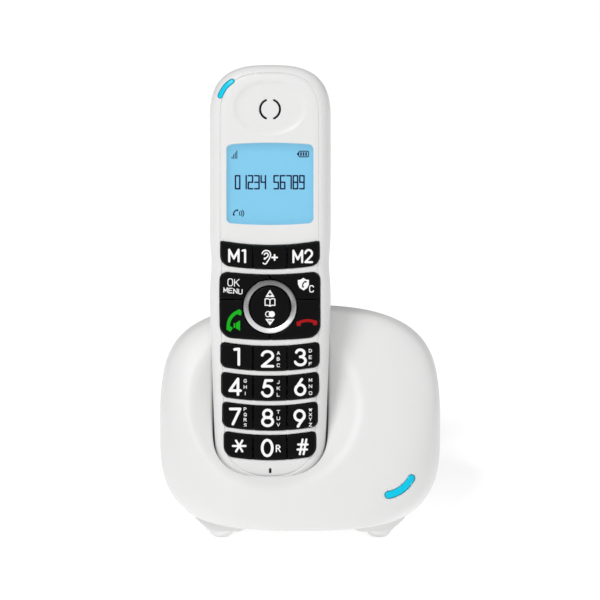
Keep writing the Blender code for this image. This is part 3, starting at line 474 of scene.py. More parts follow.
def row_distance(x, y, centre_y, half, height, low_radius, high_radius, sag=ROW_SAG):
    """From a row of keys, whose top and bottom edges sag in the middle."""
    level = y - centre_y - sag * ((x / half) ** 2 - 0.35)
    high = rounded_rect(x, level, half, height / 2, high_radius)
    low = rounded_rect(x, level, half, height / 2, low_radius)
    return np.where(level > 0, high, low)


def pad_distance(x, y):
    return row_distance(x, y, PAD_Y, PAD_HALF_WIDTH, 2 * PAD_HALF_HEIGHT, *PAD_RADII, PAD_SAG)


def rows_of_keys():
    """Every row as (key names, centre, half width, height, lower radius, upper radius)."""
    memory_keys = ["memory_key_1", "boost_key", "memory_key_2"]
    rows = [(memory_keys, MEMORY_ROW_Y, MEMORY_ROW_HALF, MEMORY_ROW_HEIGHT, 3.2, 0.6)]
    for y, half, labels in NUMBER_ROWS:
        names = [KEY_NAMES.get(c, "key_" + c) for c in labels]
        rows.append((names, y, half, ROW_HEIGHT, 3.4 if labels == "*0#" else 2.0, 1.7))
    return rows


def ear_slot(x, y, side_deg):
    low, high = side_deg - EAR_SLOT_HALF_DEG, side_deg + EAR_SLOT_HALF_DEG
    return arc_distance(x, y, (0, EAR_Y), EAR_SLOT_RADIUS, low, high, EAR_SLOT_WIDTH)


def front_cover_shape(x, y, z):
    solid = handset_solid(x, y, z)
    dish = ear_dish(x, y, z)
    line = outline(x, y, *FACE_LINE_INSETS)
    skin = solid + FACE_SINK * np.clip(-line / 0.4, 0, 1) * (z > 5)
    skin = carve(skin, np.hypot(line, solid * 0.8) - FACE_LINE_RADIUS, 0.25)
    skin = carve(skin, dish, 0.35)
    holes = np.minimum(window_distance(x, y), pad_distance(x, y) - KEY_GAP)
    for _, *row in rows_of_keys():
        holes = np.minimum(holes, row_distance(x, y, *row) - KEY_GAP)
    skin = carve(skin, holes, 0.3)
    slots = np.minimum(*[ear_slot(x, y, side) for side in (0, 180)])
    slots = np.minimum(slots, rounded_rect(x - MICROPHONE_X, y - MICROPHONE_Y, 0.48, 1.05, 0.4))
    skin = carve(skin, slots, 0.3)
    skin = carve(skin, arc_distance(x, y, *HANDSET_LIGHT) - 0.12, 0.3)
    cavity = smooth_max(solid + FRONT_WALL, FRONT_WALL - dish, 0.5)
    return smooth_max(carve(skin, cavity, 0.3), SEAM - z, 0.4)


def door_distance(x, y):
    middle = (BAY_LOW + BAY_HIGH) / 2
    return rounded_rect(x, y - middle, DOOR_HALF, (BAY_HIGH - BAY_LOW) / 2, 2.5)


def rear_cover_shape(x, y, z):
    solid = handset_solid(x, y, z)
    shell = carve(solid, solid + REAR_WALL, 0.3)
    low = (-TRAY_HALF - TRAY_WALL, TRAY_LOW - TRAY_WALL, DOOR_OPENING_Z)
    high = (TRAY_HALF + TRAY_WALL, TRAY_HIGH + TRAY_WALL, -0.1)
    tray = box_distance(x, y, z, low, high, 0.3)
    ledge = np.maximum(door_distance(x, y) - LEDGE_WIDTH, np.abs(z - LEDGE_Z) - LEDGE_HALF_HEIGHT)
    shell = smooth_min(shell, np.maximum(np.minimum(tray, ledge), solid + 0.4), 0.4)
    bay = rounded_rect(x, y - (TRAY_LOW + TRAY_HIGH) / 2, TRAY_HALF, (TRAY_HIGH - TRAY_LOW) / 2, 1.0)
    shell = carve(shell, np.maximum(bay, z - TRAY_TOP), 0.3)
    shell = carve(shell, np.maximum(door_distance(x, y), z - DOOR_OPENING_Z), 0.3)
    for i in range(-2, 3):
        half = SPEAKER_SLOT_HALF - abs(i) * 1.3
        slot = rounded_rect(x, y - SPEAKER_Y - SPEAKER_PITCH * i, half, 0.6, 0.55)
        shell = carve(shell, np.maximum(slot, z + 6), 0.3)
    for side in (-1, 1):
        from_screw = np.hypot(x - side * SCREW_X, y - SCREW_Y)
        boss = np.maximum(np.maximum(from_screw - BOSS_RADIUS, solid + 0.6), z + 0.6)
        shell = smooth_min(shell, boss, 0.5)
        shell = carve(shell, np.maximum(from_screw - HEAD_BORE_RADIUS, z - HEAD_BORE_TOP), 0.3)
        shell = carve(shell, from_screw - SHANK_BORE_RADIUS, 0.2)
        pad = np.maximum(rounded_rect(x - side * PAD_X, z - PAD_Z, 2.3, 2.3, 0.6), y - 9)
        shell = carve(shell, pad, 0.4)
    groove = np.hypot(z + SEAM + 0.35, solid) - 0.3
    return smooth_max(carve(shell, groove, 0.2), z + SEAM, 0.35)


def door_shape(x, y, z):
    solid = handset_solid(x, y, z)
    door = smooth_max(solid, door_distance(x, y) + 0.3, 0.5)
    for i in range(DOOR_RIDGES):
        ridge = np.hypot(y - DOOR_RIDGE_Y - DOOR_RIDGE_PITCH * i, solid) - 0.45
        door = carve(door, np.maximum(ridge, np.abs(x) - DOOR_RIDGE_HALF), 0.3)
    return smooth_max(door, z - DOOR_INNER_Z, 0.2)


def handset_light_shape(x, y, z):
    band = arc_distance(x, y, *HANDSET_LIGHT) + LIGHT_GAP
    solid = handset_solid(x, y, z)
    plug = smooth_max(band, solid - 0.05, 0.5)
    return np.maximum(np.maximum(plug, -HANDSET_LIGHT_DEPTH - solid), 1.5 - z)


def key_shape(edge, z, radius):
    """A key: its outline carried up to a flat top with a rolled edge."""
    top = np.hypot(np.maximum(edge + radius, 0), np.maximum(z - KEY_TOP + radius, 0)) - radius
    return smooth_max(np.maximum(top, edge), KEY_FLOOR - z, 0.3)


def row_key(row, left, right):
    def shape(x, y, z):
        edge = smooth_max(row_distance(x, y, *row), np.maximum(left - x, x - right), 0.5)
        return key_shape(edge, z, KEY_EDGE)

    return shape


def pad_key(side_x, side_y):
    def shape(x, y, z):
        edge = smooth_max(pad_distance(x, y), KEY_GAP / 2 - side_x * x, 0.5)
        edge = smooth_max(edge, KEY_GAP / 2 - side_y * (y - PAD_SPLIT_Y), 0.5)
        edge = smooth_max(edge, RING_OUTER + KEY_GAP - np.hypot(x, y - NAV_Y), 0.5)
        return key_shape(edge, z, KEY_EDGE)

    return shape


def make_handset_casing():
    put("handset_front", front_cover_shape, (-26, -0.5, -0.4), (26, 177.5, 12), 0.36, 0.22, HANDSET,
        "handset", "casing", "white_casing", "handset_front_cover")
    put("handset_back", rear_cover_shape, (-26, -0.5, -14.2), (26, 177.5, 0.3), 0.45, 0.3, HANDSET,
        "handset", "casing", "white_casing", "handset_rear_cover")
    put("battery_door_panel", door_shape, (-15.5, 81, -14.2), (15.5, 139, -11.2), 0.4, 0.35, HANDSET,
        "battery_door", "casing", "white_casing", "battery_door")
    put("handset_light", handset_light_shape, (-24, 158, 0.5), (-8, 174, 12), 0.3, 0.5, HANDSET,
        "handset", "cyan", "cyan_lens", "handset_indicator")


def make_keys():
    def put_key(name, shape, low, high):
        put(name + "_cap", shape, (*low, KEY_FLOOR), (*high, KEY_TOP), 0.32, 0.25, HANDSET,
            name, "key", "black_key", name)

    for names, *row in rows_of_keys():
        centre, half = row[:2]
        edges = [-half, -COLUMN_HALF, COLUMN_HALF, half]
        for name, left, right in zip(names, edges, edges[1:]):
            left += KEY_GAP / 2 if left > -half else 0
            right -= KEY_GAP / 2 if right < half else 0
            put_key(name, row_key(row, left, right), (left, centre - 6.5), (right, centre + 6.5))
    quarters = {"menu_key": (-1, 1), "block_key": (1, 1), "talk_key": (-1, -1), "end_key": (1, -1)}
    for name, (side_x, side_y) in quarters.items():
        low = (min(0, 22 * side_x), 63.5 if side_y < 0 else 80.5)
        high = (max(0, 22 * side_x), 82 if side_y < 0 else 94)
        put_key(name, pad_key(side_x, side_y), low, high)

    def ring_shape(x, y, z):
        r = np.hypot(x, y - NAV_Y)
        middle, half = (RING_OUTER + RING_INNER) / 2, (RING_OUTER - RING_INNER) / 2
        band = rounded_rect(r - middle, z - 8.2, half, 3.9, 0.3)
        return smooth_max(band, (z - 12.1 + (RING_OUTER - 0.5 - r) * 0.55) * 0.88, 0.35)

    def nav_shape(x, y, z):
        r = np.hypot(x, y - NAV_Y)
        top = key_shape(r - NAV_RADIUS, z, 0.7)
        lift = z - KEY_TOP - NAV_DISH_RADIUS + NAV_DISH
        return carve(top, np.hypot(r, lift) - NAV_DISH_RADIUS, 0.3)

    reach = RING_OUTER + 0.5
    low, high = (-reach, NAV_Y - reach), (reach, NAV_Y + reach)
    put("nav_ring_trim", ring_shape, (*low, 4), (*high, 12.3), 0.3, 0.5, HANDSET,
        "handset", "ring", "silver_ring", "nav_ring")
    put("nav_key_cap", nav_shape, (*low, 5), (*high, 12), 0.32, 0.3, HANDSET,
        "nav_key", "key", "black_key", "nav_key")


# ---------------------------------------------------------------- legends
def bend(cx, cy, rx, ry, start_deg, end_deg, count=14):
    """Points along part of an oval."""
    angles = np.radians(np.linspace(start_deg, end_deg, count))
    return [(cx + rx * math.cos(a), cy + ry * math.sin(a)) for a in angles]


# Each sign is drawn as strokes in a box one unit wide and one high.
SIGNS = {
    "0": [bend(0.5, 0.5, 0.5, 0.5, 0, 360, 25)],
    "1": [[(0, 0.97), (1, 1), (1, 0)]],
    "2": [bend(0.5, 0.7, 0.5, 0.3, 172, -28) + [(0.0, 0.0), (1, 0)]],
    "3": [bend(0.46, 0.765, 0.42, 0.235, 165, -90), bend(0.46, 0.27, 0.54, 0.27, 90, -165)],
    "4": [[(0.76, 0), (0.76, 1), (0, 0.25), (1, 0.25)]],
    "5": [[(0.95, 1), (0.3, 1), (0.12, 0.57)] + bend(0.47, 0.33, 0.53, 0.33, 118, -165)],
    "6": [bend(0.5, 0.32, 0.5, 0.32, 0, 360, 21), [(0.07, 0.44), (0.66, 1)]],
    "7": [[(0, 1), (1, 1), (0.27, 0)]],
    "8": [bend(0.5, 0.755, 0.4, 0.245, 0, 360, 21), bend(0.5, 0.27, 0.5, 0.27, 0, 360, 21)],
    "9": [bend(0.5, 0.68, 0.5, 0.32, 0, 360, 21), [(0.93, 0.56), (0.34, 0)]],
    "*": [[(0, 0.5), (1, 0.5)], [(0.25, 0.93), (0.75, 0.07)], [(0.75, 0.93), (0.25, 0.07)]],
    "#": [
        [(0.22, 0), (0.5, 1)], [(0.6, 0), (0.88, 1)], [(0.06, 0.66), (1, 0.66)], [(0, 0.32), (0.94, 0.32)],
    ],
    "+": [[(0, 0.5), (1, 0.5)], [(0.5, 0), (0.5, 1)]],
    "A": [[(0, 0), (0.5, 1), (1, 0)], [(0.2, 0.35), (0.8, 0.35)]],
    "B": [
        [(0, 0), (0, 1), (0.6, 1), (0.85, 0.76), (0.6, 0.53), (0, 0.53)],
        [(0.6, 0.53), (1, 0.26), (0.6, 0), (0, 0)],
    ],
    "C": [[(1, 0.8), (0.8, 1), (0.2, 1), (0, 0.8), (0, 0.2), (0.2, 0), (0.8, 0), (1, 0.2)]],
    "D": [[(0, 0), (0, 1), (0.6, 1), (1, 0.7), (1, 0.3), (0.6, 0), (0, 0)]],
    "E": [[(1, 1), (0, 1), (0, 0), (1, 0)], [(0, 0.52), (0.85, 0.52)]],
    "F": [[(1, 1), (0, 1), (0, 0)], [(0, 0.52), (0.85, 0.52)]],
    "G": [
        [(1, 0.82), (0.7, 1), (0.3, 1), (0, 0.7), (0, 0.3)]
        + [(0.3, 0), (0.75, 0), (1, 0.2), (1, 0.45), (0.6, 0.45)],
    ],
    "H": [[(0, 0), (0, 1)], [(1, 0), (1, 1)], [(0, 0.52), (1, 0.52)]],
    "I": [[(0.5, 0), (0.5, 1)]],
    "J": [[(0.8, 1), (0.8, 0.2), (0.6, 0), (0.3, 0), (0.1, 0.2)]],
    "K": [[(0, 0), (0, 1)], [(1, 1), (0, 0.42)], [(0.3, 0.58), (1, 0)]],
    "L": [[(0, 1), (0, 0), (0.9, 0)]],
    "M": [[(0, 0), (0, 1), (0.5, 0.25), (1, 1), (1, 0)]],
    "N": [[(0, 0), (0, 1), (1, 0), (1, 1)]],
    "O": [[(0.2, 0), (0, 0.2), (0, 0.8), (0.2, 1), (0.8, 1), (1, 0.8), (1, 0.2), (0.8, 0), (0.2, 0)]],
    "P": [[(0, 0), (0, 1), (0.6, 1), (0.95, 0.75), (0.6, 0.48), (0, 0.48)]],
    "Q": [bend(0.5, 0.5, 0.5, 0.5, 0, 360, 13), [(0.6, 0.3), (1, 0)]],
    "R": [[(0, 0), (0, 1), (0.6, 1), (0.95, 0.75), (0.6, 0.5), (0, 0.5)], [(0.5, 0.5), (1, 0)]],
    "S": [
        [(0.95, 0.85), (0.7, 1), (0.3, 1), (0.05, 0.76), (0.3, 0.55)]
        + [(0.7, 0.48), (0.95, 0.25), (0.7, 0), (0, 0.1)],
    ],
    "T": [[(0, 1), (1, 1)], [(0.5, 1), (0.5, 0)]],
    "U": [[(0, 1), (0, 0.2), (0.2, 0), (0.8, 0), (1, 0.2), (1, 1)]],
    "V": [[(0, 1), (0.5, 0), (1, 1)]],
    "W": [[(0, 1), (0.25, 0), (0.5, 0.8), (0.75, 0), (1, 1)]],
    "X": [[(0, 0), (1, 1)], [(0, 1), (1, 0)]],
    "Y": [[(0, 1), (0.5, 0.5), (1, 1)], [(0.5, 0.5), (0.5, 0)]],
    "Z": [[(0, 1), (1, 1), (0, 0), (1, 0)]],
}


def sign(name, left, low, right, high, width):
    """The strokes of one sign, fitted inside a box in millimetres."""
    inset = width / 2
    left, low, right, high = left + inset, low + inset, right - inset, high - inset
    return [
        [(left + x * (right - left), low + y * (high - low)) for x, y in stroke]
        for stroke in SIGNS[name]
    ]


def word(letters, left, low, wide, tall, pitch, drop, width):
    """The strokes of a word whose letters step down by drop, as the top edge of their key does."""
    strokes = []
    for i, letter in enumerate(letters):
        at, foot = left + pitch * i, low - drop * i
        strokes += sign(letter, at, foot, at + wide, foot + tall, width)
    return strokes


def stroke_distance(x, y, strokes, width):
    """From lines of a given width with round ends."""
    best = np.full(x.shape, 1e9)
    for stroke in strokes:
        for (ax, ay), (bx, by) in zip(stroke, stroke[1:]):
            dx, dy = bx - ax, by - ay
            share = np.clip(((x - ax) * dx + (y - ay) * dy) / max(dx * dx + dy * dy, 1e-9), 0, 1)
            best = np.minimum(best, (x - ax - share * dx) ** 2 + (y - ay - share * dy) ** 2)
    return np.sqrt(best) - width / 2


def polygon_distance(x, y, corners):
    """From a closed outline, negative inside it."""
    edge = stroke_distance(x, y, [[*corners, corners[0]]], 0)
    inside = np.zeros(x.shape, bool)
    for (ax, ay), (bx, by) in zip(corners, corners[1:] + corners[:1]):
        between = (ay > y) != (by > y)
        inside ^= between & (x < ax + (bx - ax) * (y - ay) / (by - ay if by != ay else 1))
    return np.where(inside, -edge, edge)


def receiver_distance(x, y, centre, length, turn_deg, width, bow=0.3):
    """A small picture of a telephone handset: a bowed grip between two cups."""
    a = math.radians(turn_deg)
    u = (x - centre[0]) * math.cos(a) + (y - centre[1]) * math.sin(a)
    v = (y - centre[1]) * math.cos(a) - (x - centre[0]) * math.sin(a)
    half = length / 2
    sink = bow * half
    grip = [[(half * t * 0.84, sink * (0.6 - t * t)) for t in np.linspace(-1, 1, 9)]]
    cups = rounded_rect(np.abs(u) - half * 0.80, v + sink * 0.75, half * 0.2, width * 0.75, width * 0.25)
    return smooth_min(stroke_distance(u, v, grip, width), cups, width * 0.3)


def print_on(name, flat, box, level, body, material, thick=0.05, step=0.115):
    """A printed sign: a flat shape raised a hair above the surface, whose height is level(x, y)."""
    left, low, right, high = box

    def shape(x, y, z):
        return np.maximum(flat(x, y), np.abs(z) - step)

    mesh = thinned(*surface(shape, (left, low, -step), (right, high, step), step), 0.3)
    x, y, z = points_of(mesh).T
    place_points(mesh, HANDSET, x, y, level(x, y) + z / step * thick)
    mesh.update()
    add(bpy.data.objects.new(name, mesh), body, M[material])


def key_level(x, y):
    return np.full_like(x, KEY_TOP)


def nav_level(x, y):
    return KEY_TOP - NAV_DISH + (x**2 + (y - NAV_Y) ** 2) / (2 * NAV_DISH_RADIUS)


# Digit boxes: left, low, right, high. Letter columns: left, right, then the middle height of each letter.
DIGITS = {
    "1": (-14.9, 54.2, -12.1, 61.6), "2": (-3.7, 53.5, 1.7, 60.6), "3": (9.95, 54.0, 15.0, 61.3),
    "4": (-16.9, 42.0, -11.4, 49.45), "5": (-3.5, 41.3, 1.5, 48.8), "6": (9.8, 41.9, 14.8, 49.3),
    "7": (-16.7, 30.0, -11.6, 37.25), "8": (-3.6, 29.3, 1.7, 36.8), "9": (9.5, 29.1, 14.55, 36.6),
    "*": (-15.5, 18.65, -9.5, 24.65), "0": (-3.7, 17.1, 1.5, 24.6), "#": (10.8, 17.9, 15.7, 24.7),
}
LETTERS = {
    "2": ((2.75, 4.1), "ABC", (59.4, 57.0, 54.45)), "3": ((15.75, 17.05), "DEF", (60.35, 57.7, 55.0)),
    "4": ((-10.7, -9.4), "GHI", (48.1, 45.6, 43.0)), "5": ((2.75, 4.1), "JKL", (47.6, 45.05, 42.45)),
    "6": ((15.75, 17.15), "MNO", (48.4, 45.9, 43.15)),
    "7": ((-10.7, -9.4), "PQRS", (36.6, 34.4, 32.3, 30.1)),
    "8": ((2.7, 4.1), "TUV", (35.5, 32.9, 30.3)),
    "9": ((15.75, 17.15), "WXYZ", (36.4, 34.4, 32.5, 30.3)),
}
DIGIT_WIDTH, SIGN_WIDTH, LETTER_WIDTH, ZERO_LETTER_WIDTH, LETTER_HALF = 1.1, 0.85, 0.26, 0.5, 0.74


def print_number(label):
    """The legend of a number key: its digit or sign, with its column of letters at the right."""
    width = SIGN_WIDTH if label in "*#" else DIGIT_WIDTH
    strokes = sign(label, *DIGITS[label], width)
    small, small_width = [], ZERO_LETTER_WIDTH if label == "0" else LETTER_WIDTH
    if label in LETTERS:
        (left, right), letters, heights = LETTERS[label]
        for letter, y in zip(letters, heights):
            small += sign(letter, left, y - LETTER_HALF, right, y + LETTER_HALF, LETTER_WIDTH)
    if label == "0":
        small += sign("R", 2.35, 19.1, 4.4, 22.15, small_width)

    def flat(x, y):
        drawn = stroke_distance(x, y, strokes, width)
        if small:
            drawn = np.minimum(drawn, stroke_distance(x, y, small, small_width))
        return drawn

    left, low, right, high = DIGITS[label]
    box = (min(left, -10.9) if left < -9 else left, low - 0.3, right + 3.2, high + 0.3)
    key = KEY_NAMES.get(label, "key_" + label)
    print_on(key + "_legend", flat, box, key_level, key, "white")


def print_memory_keys():
    first = sign("M", -17.0, 96.2, -12.3, 101.8, 0.9) + sign("1", -11.55, 95.9, -9.65, 101.6, 0.9)
    second = sign("M", 9.1, 95.9, 13.5, 101.4, 0.85) + sign("2", 13.95, 95.9, 17.5, 101.7, 0.85)
    lobe = bend(-2.05, 96.35, 0.8, 0.8, 0, -150, 7)
    ear = [
        bend(-1.5, 99.35, 1.75, 1.75, 165, -25, 12) + [(-0.35, 97.6), (-1.1, 96.4)] + lobe,
        bend(-1.5, 99.2, 0.8, 0.85, 170, -60, 8) + [(-1.6, 98.0)],
        bend(-2.1, 97.75, 0.2, 0.25, 0, 360, 7),
    ]
    plus = sign("+", 0.5, 96.85, 3.25, 99.6, 0.75)

    def drawn(strokes, width):
        return lambda x, y: stroke_distance(x, y, strokes, width)

    def ear_and_plus(x, y):
        return np.minimum(stroke_distance(x, y, ear, 0.52), stroke_distance(x, y, plus, 0.75))

    for name, flat, box in (
        ("memory_key_1", drawn(first, 0.88), (-17.3, 95.5, -9.4, 102.1)),
        ("boost_key", ear_and_plus, (-4.2, 95, 3.6, 101.8)),
        ("memory_key_2", drawn(second, 0.85), (8.8, 95.5, 17.8, 102.1)),
    ):
        print_on(name + "_legend", flat, box, key_level, name, "white")


def print_pad_keys():
    words = word("OK", -17.3, 86.5, 2.35, 3.25, 2.65, 0.15, 0.46)
    words += word("MENU", -18.9, 83.9, 1.75, 2.2, 2.0, 0.22, 0.34)
    shield = [(11.35, 89.0), (12.4, 89.15), (13.6, 89.9), (14.7, 89.15), (15.8, 89.1)]
    shield += [(15.75, 87.2), (15.1, 85.9), (13.7, 84.85), (12.1, 85.9), (11.45, 87.2)]
    letter_c = sign("C", 15.9, 84.0, 17.9, 86.95, 0.42)

    def menu(x, y):
        return stroke_distance(x, y, words, 0.34)

    def block(x, y):
        solid = polygon_distance(x, y, shield) - 0.05
        solid = np.maximum(solid, -receiver_distance(x, y, (13.7, 87.5), 2.9, 62, 0.5))
        return np.minimum(solid, stroke_distance(x, y, letter_c, 0.42))

    def talk(x, y):
        horn = [(-14.75, 69.6), (-14.0, 69.6), (-12.15, 68.5)]
        horn += [(-12.15, 72.65), (-14.0, 71.5), (-14.75, 71.5)]
        speaker = polygon_distance(x, y, horn) - 0.02
        speaker = np.maximum(speaker, 0.12 - np.abs(x + 13.95))
        return np.minimum(receiver_distance(x, y, (-15.3, 73.2), 9.6, 58, 1.35), speaker)

    def end(x, y):
        return receiver_distance(x, y, (14.95, 72.1), 8.3, 3, 1.2, 0.2)

    for name, flat, box, material in (
        ("menu_key", menu, (-19.2, 82.9, -10.8, 90), "white"),
        ("block_key", block, (11.1, 83.8, 18.1, 90.2), "white"),
        ("talk_key", talk, (-19.4, 67.8, -11.7, 77.8), "green"),
        ("end_key", end, (10.4, 69.7, 19.4, 74), "red"),
    ):
        print_on(name + "_legend", flat, box, key_level, name, material)


def print_nav_key():
    up, down = [(-1.9, 82.15), (0, 85.15), (1.9, 82.15)], [(-1.9, 73.25), (0, 70.6), (1.9, 73.25)]
    cross = sign("+", -0.8, 82.45, 0.8, 84.05, 0.42)
    bar = [[(-0.6, 72.45), (0.6, 72.45)]]
    book = [
        [(0, 81.1), (-0.9, 81.5), (-2.0, 81.35), (-2.0, 78.75), (-0.9, 78.85), (0, 78.45)],
        [(0, 78.45), (0.9, 78.85), (2.0, 78.75), (2.0, 81.35), (0.9, 81.5), (0, 81.1), (0, 78.45)],
    ]

    def flat(x, y):
        drawn = np.maximum(polygon_distance(x, y, up), -stroke_distance(x, y, cross, 0.42))
        lower = np.maximum(polygon_distance(x, y, down), -stroke_distance(x, y, bar, 0.42))
        drawn = np.minimum(np.minimum(drawn, lower), stroke_distance(x, y, book, 0.42))
        from_left, from_right = [np.hypot(x - middle, y - 75.2) for middle in (-0.75, 0.75)]
        left = np.maximum(np.abs(from_left - 1.05) - 0.19, 1.2 - from_right)
        return np.minimum(drawn, np.minimum(left, from_right - 1.25))

    print_on("nav_key_legend", flat, (-2.4, 70.2, 2.4, 85.5), nav_level, "nav_key", "white")


def make_legends():
    for label in DIGITS:
        print_number(label)
    print_memory_keys()
    print_pad_keys()
    print_nav_key()


# ---------------------------------------------------------------- base forms
def along_line(line_low, line_high, z):
    return line_low[0] + (line_high[0] - line_low[0]) * (z - line_low[1]) / (line_high[1] - line_low[1])


def plan_power(z):
    """How square the base is in plan: rounder at its foot."""
    low, high = PLAN_POWER_ZS
    share = np.clip((z - low) / (high - low), 0, 1)
    return BASE_PLAN_POWERS[0] + (BASE_PLAN_POWERS[1] - BASE_PLAN_POWERS[0]) * share


def base_level(x, y, z, inset):
    """One at the surface of the base, less inside it."""
    high = z > BASE_WAIST_Z
    top = BASE_TOP - inset - BASE_WAIST_Z
    low = BASE_WAIST_Z - np.minimum(inset, 1) * 0.5
    share = np.where(high, (z - BASE_WAIST_Z) / top, (BASE_WAIST_Z - z) / low)
    across_fall = np.where(high, fall(share, *BASE_CROWN_POWERS), fall(share, *BASE_LOW_POWERS))
    half = (BASE_HALF_WIDTH - inset) * across_fall
    bulge = FRONT_BULGE * np.sin(np.pi * np.clip((z - BULGE_LOW) / BULGE_HEIGHT, 0, 1))
    front = along_line(FRONT_FOOT_LINE, FRONT_TOP_LINE, z) - bulge + 1.3 * inset
    back = along_line(BACK_FOOT_LINE, BACK_TOP_LINE, z) - 1.04 * inset
    depth_fall = np.where(high, fall(share, DEPTH_CROWN_POWER), fall(share, DEPTH_LOW_POWER))
    depth = (back - front) / 2 * depth_fall
    n = plan_power(z)
    across = np.abs(x) / np.maximum(half, 0.3)
    deep = np.abs(y - (front + back) / 2) / np.maximum(depth, 0.3)
    return np.maximum(across**n + deep**n, 1e-6) ** (1 / n)


def base_solid(x, y, z, inset=0.0):
    """The base, its last quarter of a millimetre at the top carried on straight up to a level crown."""
    below = np.minimum(z, BASE_TOP - inset - 0.25)
    level = base_level(x, y, below, inset)
    e = 0.05
    slopes = [
        (base_level(x + a, y + b, below + c, inset) - base_level(x - a, y - b, below - c, inset)) / (2 * e)
        for a, b, c in ((e, 0, 0), (0, e, 0), (0, 0, e))
    ]
    size = np.sqrt(sum(each**2 for each in slopes))
    distance = (level - 1 + slopes[2] * (z - below)) / np.maximum(size, 1e-3)
    return smooth_max(distance, z - (BASE_TOP - inset - 0.02), 0.3)


def crown_height(x):
    """How high the ridge of the base stands at x."""
    low_power, high_power = BASE_CROWN_POWERS[1], BASE_CROWN_POWERS[0]
    return BASE_WAIST_Z + (BASE_TOP - BASE_WAIST_Z) * fall(x / BASE_HALF_WIDTH, low_power, high_power)


def to_handset(x, y, z):
    return moved(HANDSET.inverted(), x, y, z)


def cradle_distance(u, v, w):
    """The channel that holds the handset, with room round it, straight from its widest part upwards."""
    return handset_solid(u, np.minimum(v, 80), w) - CRADLE_CLEARANCE


def scoop_distance(u, v, w):
    radius = (SCOOP_RIM**2 + SCOOP_DEPTH**2) / (2 * SCOOP_DEPTH)
    tilt = math.radians(SCOOP_TILT_DEG)
    away = radius - SCOOP_DEPTH
    centre = (0, SCOOP_Y + away * math.sin(tilt), SURFACE_AT_SCOOP + away * math.cos(tilt))
    return np.sqrt((u - centre[0]) ** 2 + (v - centre[1]) ** 2 + (w - centre[2]) ** 2) - radius


def base_top_shape(x, y, z):
    u, v, w = to_handset(x, y, z)
    skin = base_solid(x, y, z)
    skin = carve(skin, scoop_distance(u, v, w), 1.6)
    skin = carve(skin, cradle_distance(u, v, w), 1.2)
    cavity = np.maximum(skin, z - crown_height(x)) + BASE_WALL
    skin = carve(skin, cavity, 0.4)
    skin = carve(skin, np.maximum(arc_distance(u, v, *BASE_LIGHT) - 0.15, -6 - w), 0.35)
    for side in (-1, 1):
        slot = rounded_rect(u - side * PAD_X, w - PAD_Z, 1.7, 1.0, 0.4)
        skin = carve(skin, np.maximum(slot, np.abs(v + 1) - 8), 0.4)
    for middle, half in SOCKETS.values():
        middle_z, half_z = (SOCKET_LOW + SOCKET_HIGH) / 2, (SOCKET_HIGH - SOCKET_LOW) / 2
        opening = rounded_rect(x - middle, z - middle_z, half + SOCKET_GAP, half_z + SOCKET_GAP, 0.8)
        skin = carve(skin, np.maximum(opening, 30 - y), 0.6)
    px, py, pz = moved(PAGE.inverted(), x, y, z)
    skin = carve(skin, np.maximum(np.hypot(px, py) - PAGE_RADIUS - 0.4, np.abs(pz) - 8), 0.5)
    return smooth_max(skin, BASE_SEAM_Z + 0.1 - z, 0.5)


def foot_profile(z):
    heights, radii = zip(*FOOT_PROFILE)
    return np.interp(z, heights, radii)


def pan_inset(z):
    heights, insets = zip(*PAN_EDGE)
    return np.interp(z, heights, insets)


def pan_shape(x, y, z):
    bottom = PAN_EDGE[0][0]
    inset = pan_inset(z)
    pan = smooth_max(base_solid(x, y, z, inset) * 0.7, bottom - z, 1.0)
    from_foot = np.hypot(np.abs(x) - FOOT_X, y - np.where(y < 0, FRONT_FOOT_Y, REAR_FOOT_Y))
    flare = smooth_max(from_foot - foot_profile(z), 0.45 - z, 0.8) * 0.5
    pan = smooth_min(pan, flare, 1.0)
    rim = base_level(x, y, np.full_like(z, PAN_TOP_Z), PAN_CLIP_INSET)
    pan = smooth_max(pan, (rim - 1) * PAN_HALF_DEPTH, 1.0)
    hollow = np.maximum(base_solid(x, y, z, inset + PAN_WALL) * 0.7, bottom + PAN_FLOOR - z)
    pan = carve(pan, hollow, 0.4)
    pan = carve(pan, np.maximum(from_foot - FOOT_PAD_RADIUS - 0.25, z - 1.4), 0.2)
    for sx, sy in BASE_SCREWS.values():
        from_screw = np.hypot(x - sx, y - sy)
        pan = carve(pan, np.maximum(from_screw - 2.6, z - 4.2), 0.3)
        pan = carve(pan, from_screw - 1.1, 0.2)
    label = rounded_rect(x, y + 2, 20, 11, 2.0)
    pan = carve(pan, np.maximum(label, z - bottom - 0.3), 0.3)
    return smooth_max(pan, z - PAN_TOP_Z, 0.3)


def base_light_shape(x, y, z):
    u, v, w = to_handset(x, y, z)
    band = arc_distance(u, v, *BASE_LIGHT) + LIGHT_GAP
    body = base_solid(x, y, z)
    plug = smooth_max(band, body - 0.05, 0.6)
    return np.maximum(np.maximum(plug, -BASE_LIGHT_DEPTH - body), -6 - w)


def page_button_shape(x, y, z):
    r = np.hypot(x, y)
    top = np.hypot(np.maximum(r - PAGE_RADIUS + 0.8, 0), np.maximum(z - 0.2, 0)) - 0.8
    top = smooth_max(np.maximum(top, r - PAGE_RADIUS), -4.6 - z, 0.3)
    return carve(top, np.sqrt(r**2 + (z - 41.0 + 0.3) ** 2) - PAGE_DISH_RADIUS, 0.3)


